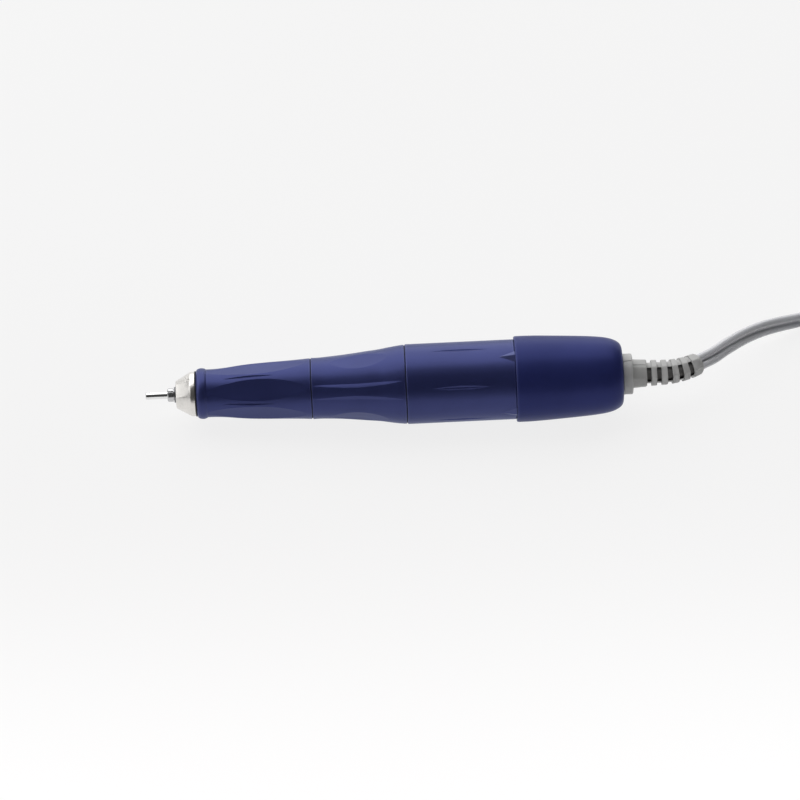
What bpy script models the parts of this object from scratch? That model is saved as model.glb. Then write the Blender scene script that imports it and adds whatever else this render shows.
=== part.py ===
"""Electric nail drill: a micromotor handpiece with its cord and its plug.

The handpiece lies on two rings of its casing, nose towards -X. Its pieces are placed along its own
axis: a station is a distance behind the face of the nose cone, and an angle round the axis is 0 on
the side that faces -Y and 90 degrees at the top.
"""

import math

import bmesh
import bpy
from mathutils import Matrix, Vector

MM = 0.001

# Fits: what touches keeps GAP, what seats closely keeps CLOSE_GAP, and a casing seam shows SEAM
GAP = 0.3 * MM
CLOSE_GAP = 0.15 * MM
SEAM = 0.4 * MM
OVERRUN = 1.0 * MM
MERGE = 0.01 * MM

# Sides of the turned pieces
CASING_SIDES = 36
INNER_SIDES = 16
BOOT_SIDES = 16
SMALL_SIDES = 12

# Bur: a plain pin with a standard 2.35 mm shank
BUR_DIAMETER = 2.35 * MM
BUR_REACH = 10.0 * MM
BUR_END_INSET = 0.5 * MM
BUR_CHAMFER = 0.25 * MM

# Collet: each radius is built up from the bur's
COLLET_GRIP_PLAY = 0.1 * MM
COLLET_WALL = 0.575 * MM
COLLET_HEAD_STEP = 0.4 * MM
COLLET_HEAD_LENGTH = 1.9 * MM
COLLET_HEAD_CHAMFER = 0.2 * MM
COLLET_STEM_LENGTH = 22.4 * MM
COLLET_SLOT_WIDTH = 0.4 * MM
COLLET_SLOT_LENGTH = 12.0 * MM
COLLET_SLOTS = 3
COLLET_SLOT_ANGLE = 72.0
COLLET_TRAVEL = 0.8 * MM

# Draw bar, its pin and its spring
SPRING_ROOM = 1.0 * MM
DRAW_BAR_SOCKET_LENGTH = 3.0 * MM
DRAW_BAR_TAIL_LENGTH = 6.5 * MM
CROSS_PIN_RADIUS = 0.6 * MM
CROSS_PIN_INSET = 0.65 * MM
COLLET_SPRING_WIRE = 0.18 * MM
COLLET_SPRING_TURNS = 7

# Spindle, and the dog that drives it
SPINDLE_WALL = 0.55 * MM
SPINDLE_PLAY = 0.2 * MM
SPINDLE_REACH = 0.6 * MM
SHOULDER_PLAY = 3.2 * MM
SHOULDER_LENGTH = 2.0 * MM
DOG_ROOM = 1.25 * MM
DOG_LENGTH = 3.0 * MM
TONGUE_LENGTH = 2.6 * MM
TONGUE_WIDTH = 2.0 * MM
TONGUE_INSET = 1.0 * MM

# Spindle housing and bearings: the steel sleeve carries the grip, the collar and the nose cone
SLEEVE_WALL = 0.65 * MM
BEARING_WIDTH = 3.0 * MM
SPINDLE_BEARING_BAND = 2.85 * MM
SPINDLE_BEARING_RING = 0.5 * MM
MOTOR_BEARING_BAND = 2.2 * MM
MOTOR_BEARING_RING = 0.38 * MM
BALL_PLAY = 0.12 * MM
BALLS = 7
REAR_BEARING_LEAD = 7.05 * MM

# Nose cone and its seal
NOSE_TIP_WALL = 1.85 * MM
NOSE_BAND_WALL = 1.1 * MM
NOSE_STEP = 0.3 * MM
NOSE_CONE_LENGTH = 4.4 * MM
NOSE_BAND_LENGTH = 1.6 * MM
NOSE_SPIGOT_LENGTH = 6.0 * MM
NOSE_FLAT_DEPTH = 0.75 * MM
NOSE_FLAT_WIDTH = 5.3 * MM
NOSE_FLAT_ANGLE = 59.0
SEAL_WIDTH = 0.4 * MM
SEAL_STEP = 0.5 * MM

# Front grip: its bead, neck and swell as shares of its length and of its rear radius
GRIP_LENGTH = 37.5 * MM
GRIP_WALL = 3.85 * MM
GRIP_OUTLINE_SHARES = (
    (0.0, 0.815), (0.015, 0.845), (0.06, 0.845), (0.075, 0.808), (0.13, 0.807), (0.21, 0.818),
    (0.31, 0.862), (0.42, 0.902), (0.53, 0.922), (0.64, 0.938), (0.77, 0.953), (0.9, 0.975), (1.0, 1.0),
)
GRIP_SCALLOP_DEPTH = 0.75 * MM
GRIP_SCALLOP_SHARES = (0.07, 0.96)
GRIP_SCALLOP_ANGLE = 43.0
SCALLOPS = 6

# Collar: the twist sleeve that opens the collet, and its cam ring
COLLAR_LENGTH = 30.1 * MM
COLLAR_STEP = 0.15 * MM
COLLAR_FRONT_STEP = 0.1 * MM
COLLAR_OUTLINE_SHARES = (
    (0.0, 0.0), (0.1, 0.067), (0.22, 0.178), (0.34, 0.298), (0.47, 0.449), (0.6, 0.596),
    (0.73, 0.689), (0.82, 0.849), (0.92, 0.964), (1.0, 1.0),
)
COLLAR_LIP_LENGTH = 2.0 * MM
COLLAR_SKIRT_WALL = 1.85 * MM
COLLAR_FLUTE_DEPTH = 0.6 * MM
COLLAR_FLUTE_SHARES = (0.04, 0.96)
COLLAR_FLUTE_ANGLE = 36.0
COLLAR_FLUTE_HALF_ANGLE = 15.0
COLLAR_TURN = 60.0
CAM_RING_WALL = 1.5 * MM
CAM_RING_LENGTH = 16.0 * MM
CAM_FLANGE_LENGTH = 2.0 * MM
CAM_STEPS = 8

# Push sleeve and guide pins
PUSH_SLEEVE_LENGTH = 8.0 * MM
GUIDE_PIN_RADIUS = 0.8 * MM
GUIDE_PIN_DEPTH = 1.4 * MM
GUIDE_PIN_LEAD = 11.55 * MM
GUIDE_PIN_SHARE = 0.65

# Motor housing
HOUSING_LENGTH = 36.0 * MM
HOUSING_RADIUS = 13.1 * MM
HOUSING_WALL = 1.2 * MM
HOUSING_FRONT_WALL = 3.0 * MM
HOUSING_CHAMFER = 0.35 * MM
HOUSING_SPIGOT_LENGTH = 2.2 * MM
HOUSING_SPIGOT_STEP = 0.6 * MM
ARROW_LENGTH = 5.2 * MM
ARROW_WIDTH = 3.6 * MM
ARROW_HEIGHT = 0.85 * MM
ARROW_INSET = 0.15 * MM
ARROW_ANGLE = 76.6
ARROWS = 4

# Rear cap: shares of its length and of its front radius
CAP_LENGTH = 35.1 * MM
CAP_STEP = 1.0 * MM
CAP_WALL = 1.3 * MM
CAP_OUTLINE_SHARES = (
    (0.0, 0.975), (0.01, 1.0), (0.11, 1.0), (0.34, 0.975), (0.58, 0.943), (0.72, 0.92),
    (0.86, 0.872), (0.94, 0.805), (0.98, 0.73), (1.0, 0.62),
)

# Motor
CAN_WALL = 0.9 * MM
MAGNET_BORE_SHARE = 0.858
MAGNET_MARGIN = 2.0 * MM
MAGNET_OPENING = 4.0 * MM
AIR_GAP = 0.4 * MM
SHAFT_RADIUS = 1.5 * MM
CORE_MARGIN = 5.8 * MM
CORE_SLOTS = 5
CORE_SLOT_WIDTH = 2.5 * MM
CORE_SLOT_DEPTH_SHARE = 0.45
WINDING_END_LENGTH = 2.9 * MM
WINDING_HUB_STEP = 0.9 * MM
WINDING_INSET = 0.9 * MM
COMMUTATOR_STEP = 1.7 * MM
COMMUTATOR_LENGTH = 6.0 * MM
BELL_LENGTH = 10.5 * MM
BELL_WALL = 1.3 * MM
FORK_LENGTH = 2.6 * MM
FORK_PLAY = 0.3 * MM
FORK_LEAD = 1.05 * MM

# Brushes: sizes along the axis, round the commutator and outwards
BRUSH_LENGTH = 3.0 * MM
BRUSH_WIDTH = 2.2 * MM
BRUSH_HEIGHT = 4.0 * MM
HOLDER_WALL = 0.6 * MM
HOLDER_PROUD = 0.2 * MM
HOLDER_OVERHANG = 1.0 * MM
BRUSH_CAP_THICKNESS = 0.45 * MM
BRUSH_SPRING_WIRE = 0.15 * MM
BRUSH_SPRING_RADIUS = 0.7 * MM
BRUSH_SPRING_TURNS = 4

# Cord: two flat cores, here one tube of their width, its crimp and its leads
CORD_WIDTH = 5.5 * MM
CORD_INNER_LENGTH = 12.0 * MM
CRIMP_LENGTH = 4.0 * MM
CRIMP_WALL = 1.0 * MM
LEAD_RADIUS = 0.6 * MM
LEAD_INSET = 3.6 * MM

# Cord boot: one grey moulding, with walls round its bore and windows between its ribs
BOOT_NECK_WALL = 1.55 * MM
FLANGE_STEP = 2.1 * MM
FLANGE_LENGTH = 3.0 * MM
FLANGE_ROUND = 0.4 * MM
INNER_FLANGE_STEP = 1.6 * MM
INNER_FLANGE_LENGTH = 1.4 * MM
BOOT_BASE_WALL = 1.7 * MM
BOOT_BASE_LENGTH = 4.2 * MM
BOOT_ROOT_WALL = 1.35 * MM
BOOT_TIP_WALL = 0.7 * MM
BOOT_TAPER_LENGTH = 18.4 * MM
BOOT_RIB_PITCH = 3.45 * MM
BOOT_WINDOWS = 5
BOOT_RINGS = 6
BOOT_WINDOW_LENGTH = 1.65 * MM
BOOT_WINDOW_STEP = 0.45 * MM
BOOT_WINDOW_BRIDGE = 1.75 * MM
BOOT_WINDOW_ANGLE = 27.0
BOOT_STRAIGHT_LENGTH = 5.6 * MM
BOOT_TURN = 34.0

# Route of the cord from the boot, in steps from the boot's end, chosen by hand
LEAD_ROUTE = (
    Vector((5.3, 4.0, -0.5)) * MM,
    Vector((10.9, 10.46, -2.02)) * MM,
    Vector((17.8, 18.34, -4.65)) * MM,
    Vector((24.6, 25.12, -7.57)) * MM,
    Vector((31.3, 30.24, -10.11)) * MM,
    Vector((37.85, 33.9, -11.72)) * MM,
    Vector((41.6, 36.9, -12.0)) * MM,
)

# Coil of the cord: it spirals in on the lower layer and out again on the upper one
COIL_CENTRE = Vector((169.0, 26.4, 0.0)) * MM
COIL_RADIUS = 37.0 * MM
COIL_CLEARANCE = 0.5 * MM
COIL_TURNS_EACH_WAY = 3
COIL_START_ANGLE = 135.0
LOOP_POINTS = 24
TIE_THICKNESS = 0.6 * MM
TIE_WIDTH = 9.0 * MM
TIE_ANGLE = 235.0
TIE_CORNER_STEPS = 3

# Tail over the coil: turn past the coil's end in degrees, radius, and rise as a share of the climb
TAIL_ROUTE_SHARES = ((22.0, 1.03, 0.18), (36.0, 1.03, 0.5), (50.0, 0.99, 0.82), (66.0, 0.9, 1.0))
PLUG_ANGLE = 10.0
PLUG_RADIUS_SHARE = 0.76

# Plug
PLUG_RADIUS = 5.0 * MM
PLUG_GRIP_LENGTH = 15.0 * MM
PLUG_TAPER_LENGTH = 11.0 * MM
PLUG_TAPER_WALL = 0.55 * MM
PLUG_SHELL_WALL = 0.5 * MM
PLUG_SHELL_LENGTH = 13.0 * MM
PLUG_SOCKET_DEPTH = 4.0 * MM
PLUG_SOCKET_WALL = 0.8 * MM
PLUG_INSERT_LENGTH = 6.0 * MM
PLUG_PINS = 3
PLUG_PIN_RADIUS = 0.5 * MM
PLUG_PIN_LENGTH = 10.0 * MM
PLUG_PIN_MARGIN = 1.2 * MM
PLUG_PIN_INSET = 1.0 * MM

# Radii from the bur outwards
COLLET_BORE_RADIUS = BUR_DIAMETER / 2 + COLLET_GRIP_PLAY
COLLET_STEM_RADIUS = COLLET_BORE_RADIUS + COLLET_WALL
COLLET_HEAD_RADIUS = COLLET_STEM_RADIUS + COLLET_HEAD_STEP
SPINDLE_BORE_RADIUS = COLLET_STEM_RADIUS + SPINDLE_PLAY
SPINDLE_RADIUS = SPINDLE_BORE_RADIUS + SPINDLE_WALL
DRAW_BAR_RADIUS = SPINDLE_BORE_RADIUS - SPRING_ROOM
SLEEVE_BORE_RADIUS = SPINDLE_RADIUS + SPINDLE_BEARING_BAND
SLEEVE_RADIUS = SLEEVE_BORE_RADIUS + SLEEVE_WALL
NOSE_TIP_RADIUS = SPINDLE_RADIUS + NOSE_TIP_WALL
NOSE_RADIUS = SLEEVE_RADIUS + NOSE_BAND_WALL
NOSE_SHOULDER_RADIUS = NOSE_RADIUS - NOSE_STEP
GRIP_RADIUS = SLEEVE_RADIUS + GRIP_WALL
CAM_RING_BORE = SLEEVE_RADIUS + GAP
CAM_RING_RADIUS = CAM_RING_BORE + CAM_RING_WALL
DOG_RADIUS = SLEEVE_BORE_RADIUS - DOG_ROOM

# Radii from the motor housing inwards and outwards
COLLAR_FRONT_RADIUS = GRIP_RADIUS + COLLAR_FRONT_STEP
COLLAR_RADIUS = HOUSING_RADIUS - COLLAR_STEP
CAM_FLANGE_RADIUS = COLLAR_RADIUS - COLLAR_SKIRT_WALL - GAP
CAP_RADIUS = HOUSING_RADIUS + CAP_STEP
HOUSING_BORE_RADIUS = HOUSING_RADIUS - HOUSING_WALL
CAN_RADIUS = HOUSING_BORE_RADIUS - GAP
CAN_BORE_RADIUS = CAN_RADIUS - CAN_WALL
MAGNET_RADIUS = CAN_BORE_RADIUS - CLOSE_GAP
MAGNET_BORE_RADIUS = MAGNET_RADIUS * MAGNET_BORE_SHARE
CORE_RADIUS = MAGNET_BORE_RADIUS - AIR_GAP
CORE_SLOT_FLOOR = CORE_RADIUS * (1.0 - CORE_SLOT_DEPTH_SHARE)
MOTOR_BEARING_RADIUS = SHAFT_RADIUS + MOTOR_BEARING_BAND
COMMUTATOR_RADIUS = SHAFT_RADIUS + COMMUTATOR_STEP
HOLDER_REACH = CAN_RADIUS + HOLDER_PROUD

# Radii of the boot and the plug
BOOT_BORE_RADIUS = CORD_WIDTH / 2 + GAP
BOOT_NECK_RADIUS = BOOT_BORE_RADIUS + BOOT_NECK_WALL
CAP_HOLE_RADIUS = BOOT_NECK_RADIUS + GAP
FLANGE_RADIUS = BOOT_NECK_RADIUS + FLANGE_STEP
INNER_FLANGE_RADIUS = BOOT_NECK_RADIUS + INNER_FLANGE_STEP
BOOT_BASE_RADIUS = BOOT_BORE_RADIUS + BOOT_BASE_WALL
BOOT_ROOT_RADIUS = BOOT_BORE_RADIUS + BOOT_ROOT_WALL
BOOT_TIP_RADIUS = BOOT_BORE_RADIUS + BOOT_TIP_WALL
PLUG_TAPER_RADIUS = CORD_WIDTH / 2 + PLUG_TAPER_WALL
COIL_PITCH = CORD_WIDTH + COIL_CLEARANCE

# Stations along the handpiece, each from its neighbour
NOSE_END = NOSE_CONE_LENGTH + NOSE_BAND_LENGTH
SEAL_START = NOSE_END + CLOSE_GAP
GRIP_START = SEAL_START + SEAL_WIDTH + CLOSE_GAP
GRIP_END = GRIP_START + GRIP_LENGTH
COLLAR_START = GRIP_END + SEAM
COLLAR_END = COLLAR_START + COLLAR_LENGTH
HOUSING_START = COLLAR_END + SEAM
HOUSING_END = HOUSING_START + HOUSING_LENGTH
CAP_START = HOUSING_END + CLOSE_GAP
CAP_END = CAP_START + CAP_LENGTH
FLANGE_START = CAP_END + GAP
BASE_START = FLANGE_START + FLANGE_LENGTH
TAPER_START = BASE_START + BOOT_BASE_LENGTH
BOOT_END = TAPER_START + BOOT_TAPER_LENGTH
CORD_INNER_START = CAP_END - CORD_INNER_LENGTH

# Stations of the spindle, its drive and the release
SLEEVE_START = NOSE_END + NOSE_SPIGOT_LENGTH + GAP
SLEEVE_END = HOUSING_START + HOUSING_FRONT_WALL
FORK_START = HOUSING_START - FORK_LEAD
TONGUE_START = FORK_START - GAP - TONGUE_LENGTH
DOG_START = TONGUE_START - DOG_LENGTH
SPINDLE_END = DOG_START - CLOSE_GAP
GUIDE_PIN_STATION = COLLAR_END - GUIDE_PIN_LEAD
PUSH_SLEEVE_START = GUIDE_PIN_STATION - PUSH_SLEEVE_LENGTH * GUIDE_PIN_SHARE
CROSS_PIN_STATION = PUSH_SLEEVE_START - GAP - CROSS_PIN_RADIUS
REAR_BEARING_START = CROSS_PIN_STATION - REAR_BEARING_LEAD
COLLET_FRONT = -(SPINDLE_REACH + GAP + COLLET_HEAD_LENGTH)
COLLET_END = COLLET_FRONT + COLLET_HEAD_LENGTH + COLLET_STEM_LENGTH
BUR_LENGTH = BUR_REACH + COLLET_END - BUR_END_INSET
DRAW_BAR_START = COLLET_END + GAP
DRAW_BAR_END = CROSS_PIN_STATION + DRAW_BAR_TAIL_LENGTH / 2
SHOULDER_START = DRAW_BAR_START + DRAW_BAR_SOCKET_LENGTH + SHOULDER_PLAY

# Stations of the motor
CAN_START = SLEEVE_END + GAP
CAN_END = HOUSING_END + GAP
FRONT_PLATE_START = CAN_START + GAP
FRONT_PLATE_END = FRONT_PLATE_START + BEARING_WIDTH
MAGNETS_START = FRONT_PLATE_END + MAGNET_MARGIN
MAGNETS_END = CAN_END - MAGNET_MARGIN
CORE_START = FRONT_PLATE_END + CORE_MARGIN
CORE_END = CAN_END - CORE_MARGIN
BELL_START = CAN_END + GAP
BELL_END = BELL_START + BELL_LENGTH
BRUSH_STATION = BELL_START + COMMUTATOR_LENGTH / 2 + HOLDER_WALL + GAP

# Pose: the lowest facets of two casing rings lie on the floor
FACET_SHARE = math.cos(math.pi / CASING_SIDES)
FRONT_REST_STATION = HOUSING_START + HOUSING_CHAMFER
REAR_REST_STATION = CAP_START + CAP_OUTLINE_SHARES[1][0] * CAP_LENGTH
REST_TILT = math.atan2((CAP_RADIUS - HOUSING_RADIUS) * FACET_SHARE, REAR_REST_STATION - FRONT_REST_STATION)

FINISHES = {
    "blue": ((0.012, 0.015, 0.055, 1.0), 0.42, 0.0),
    "nickel": ((0.62, 0.6, 0.57, 1.0), 0.3, 1.0),
    "polished": ((0.7, 0.7, 0.7, 1.0), 0.12, 1.0),
    "steel": ((0.5, 0.5, 0.5, 1.0), 0.35, 1.0),
    "black_rubber": ((0.012, 0.012, 0.012, 1.0), 0.7, 0.0),
    "grey_rubber": ((0.17, 0.17, 0.17, 1.0), 0.55, 0.0),
    "grey_cord": ((0.28, 0.28, 0.31, 1.0), 0.45, 0.0),
    "dark_plastic": ((0.03, 0.03, 0.035, 1.0), 0.5, 0.0),
    "white_plastic": ((0.7, 0.7, 0.67, 1.0), 0.5, 0.0),
    "copper": ((0.75, 0.3, 0.16, 1.0), 0.3, 1.0),
    "brass": ((0.75, 0.55, 0.2, 1.0), 0.3, 1.0),
    "ferrite": ((0.05, 0.05, 0.055, 1.0), 0.65, 0.0),
    "carbon": ((0.02, 0.02, 0.02, 1.0), 0.75, 0.0),
}


def clear_scene():
    """Remove what the file opens with."""
    for old in list(bpy.data.objects):
        bpy.data.objects.remove(old, do_unlink=True)


def collection(name):
    """Make a collection in the scene and return it."""
    made = bpy.data.collections.new(name)
    bpy.context.scene.collection.children.link(made)
    return made


def empty(name, parent=None, location=(0.0, 0.0, 0.0), rotation=(0.0, 0.0, 0.0)):
    """Add an empty that carries pieces."""
    made = bpy.data.objects.new(name, None)
    made.empty_display_size = COLLAR_LENGTH
    made.location = location
    made.rotation_euler = rotation
    made.parent = parent
    PARTS.objects.link(made)
    return made


def add(name, mesh, parent, location=(0.0, 0.0, 0.0), rotation=(0.0, 0.0, 0.0)):
    """Add an object with this mesh to the part."""
    made = bpy.data.objects.new(name, mesh)
    made.location = location
    made.rotation_euler = rotation
    made.parent = parent
    PARTS.objects.link(made)
    return made


def finish(piece, kind):
    """Give a piece its own material."""
    colour, roughness, metallic = FINISHES[kind]
    material = bpy.data.materials.new(piece.name + "_finish")
    material.use_nodes = True
    shader = material.node_tree.nodes["Principled BSDF"]
    shader.inputs["Base Color"].default_value = colour
    shader.inputs["Roughness"].default_value = roughness
    shader.inputs["Metallic"].default_value = metallic
    piece.data.materials.clear()
    piece.data.materials.append(material)
    return piece


def shade(mesh):
    """Shade round faces smooth and keep the edges crisp."""
    mesh.shade_smooth()
    mesh.set_sharp_from_angle(angle=math.radians(35))


def turned(name, parent, outer, inner=None, sides=INNER_SIDES, station=0.0):
    """Turn an outline about the handpiece's axis.

    outer and inner list (station, radius) from the nose backwards. Without inner the piece is solid.
    """
    line = list(reversed(outer))
    if inner:
        line += inner
    else:
        line = [(outer[-1][0], 0.0)] + line + [(outer[0][0], 0.0)]
    half = math.pi / sides
    points = [(radius * math.cos(half), radius * math.sin(half), along - station) for along, radius in line]
    edges = [(i, i + 1) for i in range(len(points) - 1)]
    if inner:
        edges.append((len(points) - 1, 0))
    mesh = bpy.data.meshes.new(name)
    mesh.from_pydata(points, edges, [])
    piece = add(name, mesh, parent, (station, 0.0, 0.0), (0.0, math.radians(90), 0.0))
    turn = piece.modifiers.new("Turn", "SCREW")
    turn.steps = sides
    turn.render_steps = sides
    turn.use_merge_vertices = True
    turn.merge_threshold = MERGE
    return piece


def ring(name, parent, start, length, bore, radius, sides=INNER_SIDES):
    """Turn a plain ring."""
    end = start + length
    return turned(name, parent, [(start, radius), (end, radius)], [(start, bore), (end, bore)], sides)


def rod(name, parent, start, length, radius, chamfer=0.0, sides=INNER_SIDES):
    """Turn a plain rod, with chamfered ends if chamfer is more than 0."""
    end = start + length
    outline = [(start, radius), (end, radius)]
    if chamfer:
        outline = [(start, radius - chamfer), (start + chamfer, radius), (end - chamfer, radius),
                   (end, radius - chamfer)]
    return turned(name, parent, outline, sides=sides)


def baked(piece):
    """Turn a piece with its modifiers, or a curve, into a plain mesh in its parent's space."""
    bpy.context.view_layer.update()
    evaluated = piece.evaluated_get(bpy.context.evaluated_depsgraph_get())
    mesh = bpy.data.meshes.new_from_object(evaluated)
    mesh.transform(piece.matrix_basis)
    name, parent = piece.name, piece.parent
    bpy.data.objects.remove(piece, do_unlink=True)
    made = add(name, mesh, parent)
    made.name = name
    return made


def weld(piece):
    """Close the loose caps of a baked curve."""
    work = bmesh.new()
    work.from_mesh(piece.data)
    bmesh.ops.remove_doubles(work, verts=work.verts, dist=MERGE)
    work.to_mesh(piece.data)
    work.free()
    return piece


def reshaped(piece, move):
    """Move each point of a baked piece by a rule from its station and its place."""
    for vertex in piece.data.vertices:
        vertex.co = move(vertex.co)
    piece.data.update()
    return piece


def around(angle, radius):
    """The offset across the axis at an angle round it, in degrees."""
    turn = math.radians(angle)
    return Vector((0.0, -radius * math.cos(turn), radius * math.sin(turn)))


def box_mesh(name, size, places):
    """One mesh of equal boxes, each at a matrix."""
    work = bmesh.new()
    for place in places:
        bmesh.ops.create_cube(work, size=1.0, matrix=place @ Matrix.Diagonal((*size, 1.0)))
    mesh = bpy.data.meshes.new(name)
    work.to_mesh(mesh)
    work.free()
    return mesh


def round_mesh(name, radius, length, places, sides=SMALL_SIDES):
    """One mesh of equal cylinders, each along the Z of its matrix."""
    work = bmesh.new()
    for place in places:
        bmesh.ops.create_cone(work, cap_ends=True, segments=sides, radius1=radius, radius2=radius,
                              depth=length, matrix=place)
    mesh = bpy.data.meshes.new(name)
    work.to_mesh(mesh)
    work.free()
    return mesh


def spoke(station, angle, radius=0.0):
    """A place on the axis or off it, whose Z points outwards at this angle and whose X is the axis."""
    out = around(angle, 1.0)
    along = Vector((1.0, 0.0, 0.0))
    across = out.cross(along)
    turn = Matrix((along, across, out)).transposed().to_4x4()
    return Matrix.Translation(Vector((station, 0.0, 0.0)) + out * radius) @ turn


def cutter(name, mesh, parent):
    """Keep a mesh out of the part as a cutter."""
    made = bpy.data.objects.new(name, mesh)
    made.parent = parent
    made.hide_render = True
    made.display_type = "WIRE"
    CUTTERS.objects.link(made)
    return made


def combine(piece, tool, operation="DIFFERENCE"):
    """Cut a piece by a cutter, or join them."""
    change = piece.modifiers.new(tool.name, "BOOLEAN")
    change.operation = operation
    change.solver = "EXACT"
    change.object = tool
    return piece


def tube(name, parent, points, radius, resolution=2):
    """A round tube along points, closed at both ends."""
    curve = bpy.data.curves.new(name, "CURVE")
    curve.dimensions = "3D"
    curve.bevel_depth = radius
    curve.bevel_resolution = resolution
    curve.use_fill_caps = True
    line = curve.splines.new("POLY")
    line.points.add(len(points) - 1)
    for knot, place in zip(line.points, points):
        knot.co = (*place, 1.0)
    made = bpy.data.objects.new(name, curve)
    made.parent = parent
    PARTS.objects.link(made)
    return weld(baked(made))


def smooth_route(knots, spacing):
    """Points at about this spacing on a smooth curve through the knots."""
    guides = [knots[0] * 2 - knots[1]] + list(knots) + [knots[-1] * 2 - knots[-2]]
    points = []
    for before, start, end, after in zip(guides, guides[1:], guides[2:], guides[3:]):
        steps = max(1, round((end - start).length / spacing))
        for step in range(steps):
            t = step / steps
            points.append(0.5 * (2 * start + (end - before) * t
                                 + (2 * before - 5 * start + 4 * end - after) * t ** 2
                                 + (3 * start - before - 3 * end + after) * t ** 3))
    return points + [knots[-1]]


def outline(start, length, radius, shares):
    """Outline points from shares of a length and of a radius."""
    return [(start + along * length, across * radius) for along, across in shares]


def wrapped(angle):
    """An angle brought between -180 and 180 degrees."""
    return (angle + 180.0) % 360.0 - 180.0


def scallop(piece, start, length, shares, depth, first_angle, half_angle):
    """Press a row of lens-shaped hollows into the outside of a baked casing."""
    begin, end = start + shares[0] * length, start + shares[1] * length
    pitch = 360.0 / SCALLOPS
    normals = [vertex.normal.copy() for vertex in piece.data.vertices]
    for vertex, normal in zip(piece.data.vertices, normals):
        place = vertex.co
        out = Vector((0.0, place.y, place.z))
        along = (place.x - begin) / (end - begin)
        if normal.dot(out.normalized()) < 0.5 or not 0.0 < along < 1.0:
            continue
        angle = math.degrees(math.atan2(place.z, -place.y))
        offset = min(abs(wrapped(angle - first_angle - pitch * i)) for i in range(SCALLOPS))
        swell = math.sin(math.pi * along)
        share = max(0.0, 1.0 - (offset / (half_angle * swell)) ** 2)
        vertex.co = place - out.normalized() * depth * swell * share
    piece.data.update()
    return piece


def boot_bend(place):
    """Carry a point of the straight boot, or of the cord in it, round the boot's bend."""
    start = TAPER_START + BOOT_STRAIGHT_LENGTH
    total = math.radians(BOOT_TURN)
    bend = (BOOT_END - start) / total
    beyond = place.x - start
    if beyond <= 0.0:
        return Vector(place)
    turn = min(beyond / bend, total)
    rest = beyond - turn * bend
    heading = Vector((math.cos(turn), math.sin(turn), 0.0))
    side = Vector((-math.sin(turn), math.cos(turn), 0.0))
    centre = Vector((start + bend * math.sin(turn), bend * (1.0 - math.cos(turn)), 0.0))
    return centre + heading * rest + side * place.y + Vector((0.0, 0.0, place.z))


def bearing(name, start, shaft, seat, thickness, carriers):
    """A ball bearing: an outer ring, an inner ring, and a cage fused to its balls."""
    bore, radius = shaft + CLOSE_GAP, seat - CLOSE_GAP
    outer_parent, inner_parent, cage_parent = carriers
    finish(ring(name + "_outer_ring", outer_parent, start, BEARING_WIDTH, radius - thickness, radius),
           "polished")
    finish(ring(name + "_inner_ring", inner_parent, start, BEARING_WIDTH, bore, bore + thickness),
           "polished")
    ball = (radius - bore) / 2 - thickness - BALL_PLAY
    track = (radius + bore) / 2
    middle = start + BEARING_WIDTH / 2
    inside, outside = track - ball / 3, track + ball / 3
    cage = ring(name + "_cage", cage_parent, middle - ball / 2, ball, inside, outside, 2 * BALLS)
    work = bmesh.new()
    for index in range(BALLS):
        place = Matrix.Translation(Vector((middle, 0.0, 0.0)) + around(360.0 * index / BALLS, track))
        bmesh.ops.create_icosphere(work, subdivisions=1, radius=ball, matrix=place)
    mesh = bpy.data.meshes.new(name + "_balls")
    work.to_mesh(mesh)
    work.free()
    combine(cage, cutter(name + "_balls", mesh, cage_parent), "UNION")
    finish(cage, "brass")


def spring(name, parent, start, end, radius, wire, turns, place):
    """A helical spring along the X of a place, from start to end."""
    steps = 8 * turns
    points = []
    for step in range(steps + 1):
        turn = 2 * math.pi * step / 8
        along = start + (end - start) * step / steps
        points.append(place @ Vector((along, radius * math.cos(turn), radius * math.sin(turn))))
    return finish(tube(name, parent, points, wire, 0), "steel")


def build_bur(bur):
    """The plain pin in the collet."""
    finish(rod("bur_shank", bur, -BUR_REACH, BUR_LENGTH, BUR_DIAMETER / 2, BUR_CHAMFER), "polished")


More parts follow.
